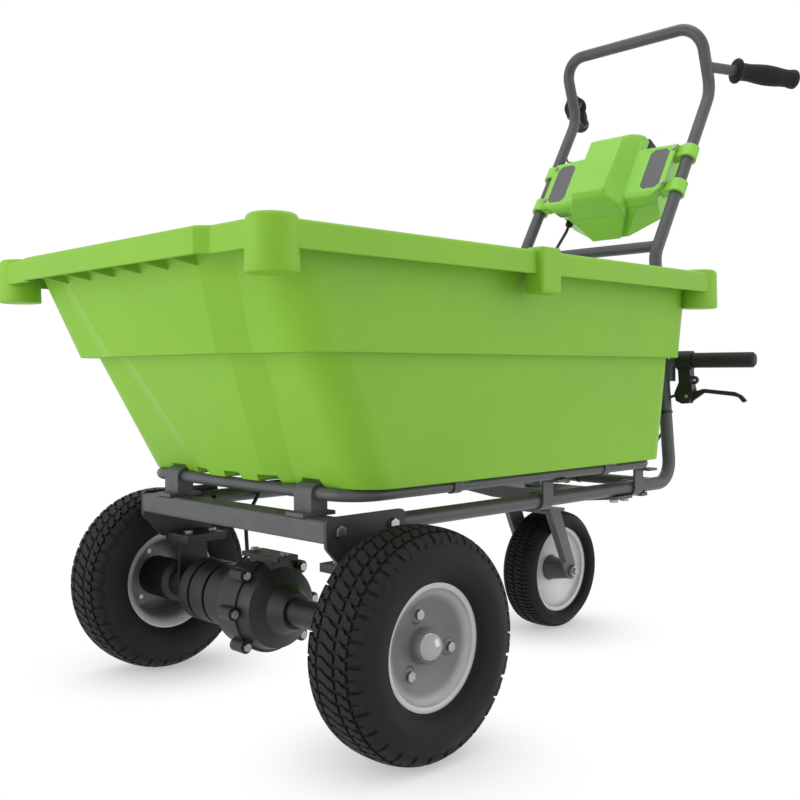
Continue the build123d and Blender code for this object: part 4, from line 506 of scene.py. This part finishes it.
# Each point is the height over the rim and the radius
CORNER_BOSS = [(0.0055, 0.0), (0.0055, 0.0195), (0.0050, 0.0225), (0.0036, 0.0252), (0.0012, 0.0270),
               (-0.0020, 0.0277), (-0.0300, 0.0283), (-0.0540, 0.0287), (-0.0552, 0.0280), (-0.0556, 0.0262),
               (-0.0556, 0.0)]
tub_low, tub_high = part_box("tub")
for end, from_front in (("front", CORNER_FRONT), ("back", CORNER_BACK)):
    for hand, sign in HANDS.items():
        top = Vector((sign * (tub_high.x - CORNER_IN), tub_low.y + from_front, tub_high.z))
        bm = bmesh.new()
        lathe(bm, CORNER_BOSS, Matrix.Translation(top) @ UPRIGHT, steps=48)
        piece(f"rim_boss_{end}_{hand}", bm, "tub", "tub_green", sharp=50)
for hand, sign in HANDS.items():
    centre = Vector((sign * (tub_high.x - SIDE_IN), tub_low.y + SIDE_FRONT, tub_high.z - SIDE_DROP))
    bm = bmesh.new()
    bmesh.ops.create_cube(bm, size=1.0, matrix=Matrix.Translation(centre) @ Matrix.Diagonal((*SIDE_BOSS, 1)))
    block = piece(f"rim_boss_side_{hand}", bm, "tub", "tub_green")
    rounding = block.modifiers.new("edge", "BEVEL")
    rounding.width = SIDE_ROUND
    rounding.segments = ROUND_STEPS
    rounding.limit_method = "ANGLE"
    rounding.angle_limit = math.radians(30)

# Floor: pale paper that fades away from the tyres, to white for the camera and to clear for other rays
FLOOR_REACH, FLOOR_SQUARES = 6.0, 8
FLOOR_TONE = (0.55, 0.55, 0.55, 1)
FLOOR_ROUGHNESS = 0.9
TYRES_MERGE = 0.25
CLEAR_FADE = {"From Min": 0.02, "From Max": 0.36, "To Min": 0.76}
WHITE_FADE = {"From Min": 0.03, "From Max": 0.22, "To Min": 0.40}


def tyre_distance(tree):
    """The distance on the floor from the nearest tyre's middle, merged softly between tyres."""
    spot = add_node(tree, "ShaderNodeNewGeometry", {}).outputs["Position"]
    nearest = None
    for node in ("tyre_left", "tyre_right", "caster_tyre"):
        at = middle(node)
        reach = add_node(tree, "ShaderNodeVectorMath", {0: spot, 1: (at.x, at.y, 0)}, operation="DISTANCE")
        distance = reach.outputs["Value"]
        if nearest is None:
            nearest = distance
        else:
            least = add_node(tree, "ShaderNodeMath", {
                0: nearest, 1: distance, 2: TYRES_MERGE,
            }, operation="SMOOTH_MIN")
            nearest = least.outputs["Value"]
    return nearest


def faded(tree, sheet, far, distance, fade):
    """The floor's shader, fading into another with the distance."""
    share = add_node(tree, "ShaderNodeMapRange", {
        "Value": distance, **fade,
    }, interpolation_type="SMOOTHSTEP")
    mix = add_node(tree, "ShaderNodeMixShader", {"Fac": share.outputs["Result"], 1: sheet, 2: far})
    return mix.outputs["Shader"]


def floor_paper():
    """The floor's material."""
    paper = bpy.data.materials.new("pale_floor")
    paper.use_nodes = True
    tree = paper.node_tree
    camera_ray = add_node(tree, "ShaderNodeLightPath", {}).outputs["Is Camera Ray"]
    tone = add_node(tree, "ShaderNodeMix", {
        "Factor": camera_ray, "A": FLOOR_TONE, "B": WHITE,
    }, data_type="RGBA")
    principled = tree.nodes["Principled BSDF"]
    fill(tree, principled, {
        "Base Color": tone.outputs["Result"], "Roughness": FLOOR_ROUGHNESS, "Specular IOR Level": 0.0,
    })
    sheet = principled.outputs["BSDF"]
    clear = add_node(tree, "ShaderNodeBsdfTransparent", {}).outputs["BSDF"]
    white = add_node(tree, "ShaderNodeEmission", {}).outputs["Emission"]
    distance = tyre_distance(tree)
    pick = add_node(tree, "ShaderNodeMixShader", {
        "Fac": camera_ray,
        1: faded(tree, sheet, clear, distance, CLEAR_FADE),
        2: faded(tree, sheet, white, distance, WHITE_FADE),
    })
    fill(tree, tree.nodes["Material Output"], {"Surface": pick.outputs["Shader"]})
    return paper


bm = bmesh.new()
bmesh.ops.create_grid(bm, x_segments=FLOOR_SQUARES, y_segments=FLOOR_SQUARES, size=FLOOR_REACH)
ground = bpy.data.meshes.new("floor")
bm.to_mesh(ground)
bm.free()
ground.materials.append(floor_paper())
floor = bpy.data.objects.new("floor", ground)
bpy.context.collection.objects.link(floor)

# Light: an even white studio, plainly white where it is seen or mirrored, and three softboxes
STUDIO_LIGHT, STUDIO_SEEN = 0.80, 1.0
world = bpy.data.worlds.new("studio")
bpy.context.scene.world = world
world.use_nodes = True
studio = world.node_tree
rays = add_node(studio, "ShaderNodeLightPath", {}).outputs
mirrored = add_node(studio, "ShaderNodeMath", {
    0: rays["Is Glossy Ray"], 1: rays["Is Transmission Ray"],
}, operation="MAXIMUM")
direct = add_node(studio, "ShaderNodeMath", {
    0: rays["Is Camera Ray"], 1: mirrored.outputs["Value"],
}, operation="MAXIMUM")
level = add_node(studio, "ShaderNodeMapRange", {
    "Value": direct.outputs["Value"], "To Min": STUDIO_LIGHT, "To Max": STUDIO_SEEN,
})
fill(studio, studio.nodes["Background"], {"Color": WHITE, "Strength": level.outputs["Result"]})


def softbox(name, at, aim, size, power):
    """A square area light at a point, facing another."""
    lamp = bpy.data.lights.new(name, "AREA")
    lamp.size = size
    lamp.energy = power
    obj = bpy.data.objects.new(name, lamp)
    bpy.context.collection.objects.link(obj)
    obj.location = at
    obj.rotation_euler = (Vector(aim) - Vector(at)).to_track_quat("-Z", "Y").to_euler()


softbox("key", at=(-0.9, -3.1, 0.8), aim=(0, 0, 0.5), size=2.2, power=34)
softbox("top", at=(0.0, 0.2, 3.4), aim=(0, 0, 0.3), size=2.8, power=32)
softbox("side", at=(2.4, 1.6, 0.7), aim=(0.2, 0.2, 0.45), size=1.6, power=12)

# Camera: the photograph's place and angle of view, in metres, millimetres and degrees
EYE = (1.1267, -1.2665, 0.4592)
TILT, ROLL, HEADING = 88.5, 0.2, 45.6
SENSOR, LENS = 36.0, 45.7
camera = bpy.data.cameras.new("camera")
camera.sensor_width = SENSOR
camera.lens = LENS
viewer = bpy.data.objects.new("camera", camera)
bpy.context.collection.objects.link(viewer)
viewer.location = EYE
viewer.rotation_euler = (math.radians(TILT), math.radians(ROLL), math.radians(HEADING))
bpy.context.scene.camera = viewer
bpy.context.scene.view_settings.view_transform = "Standard"
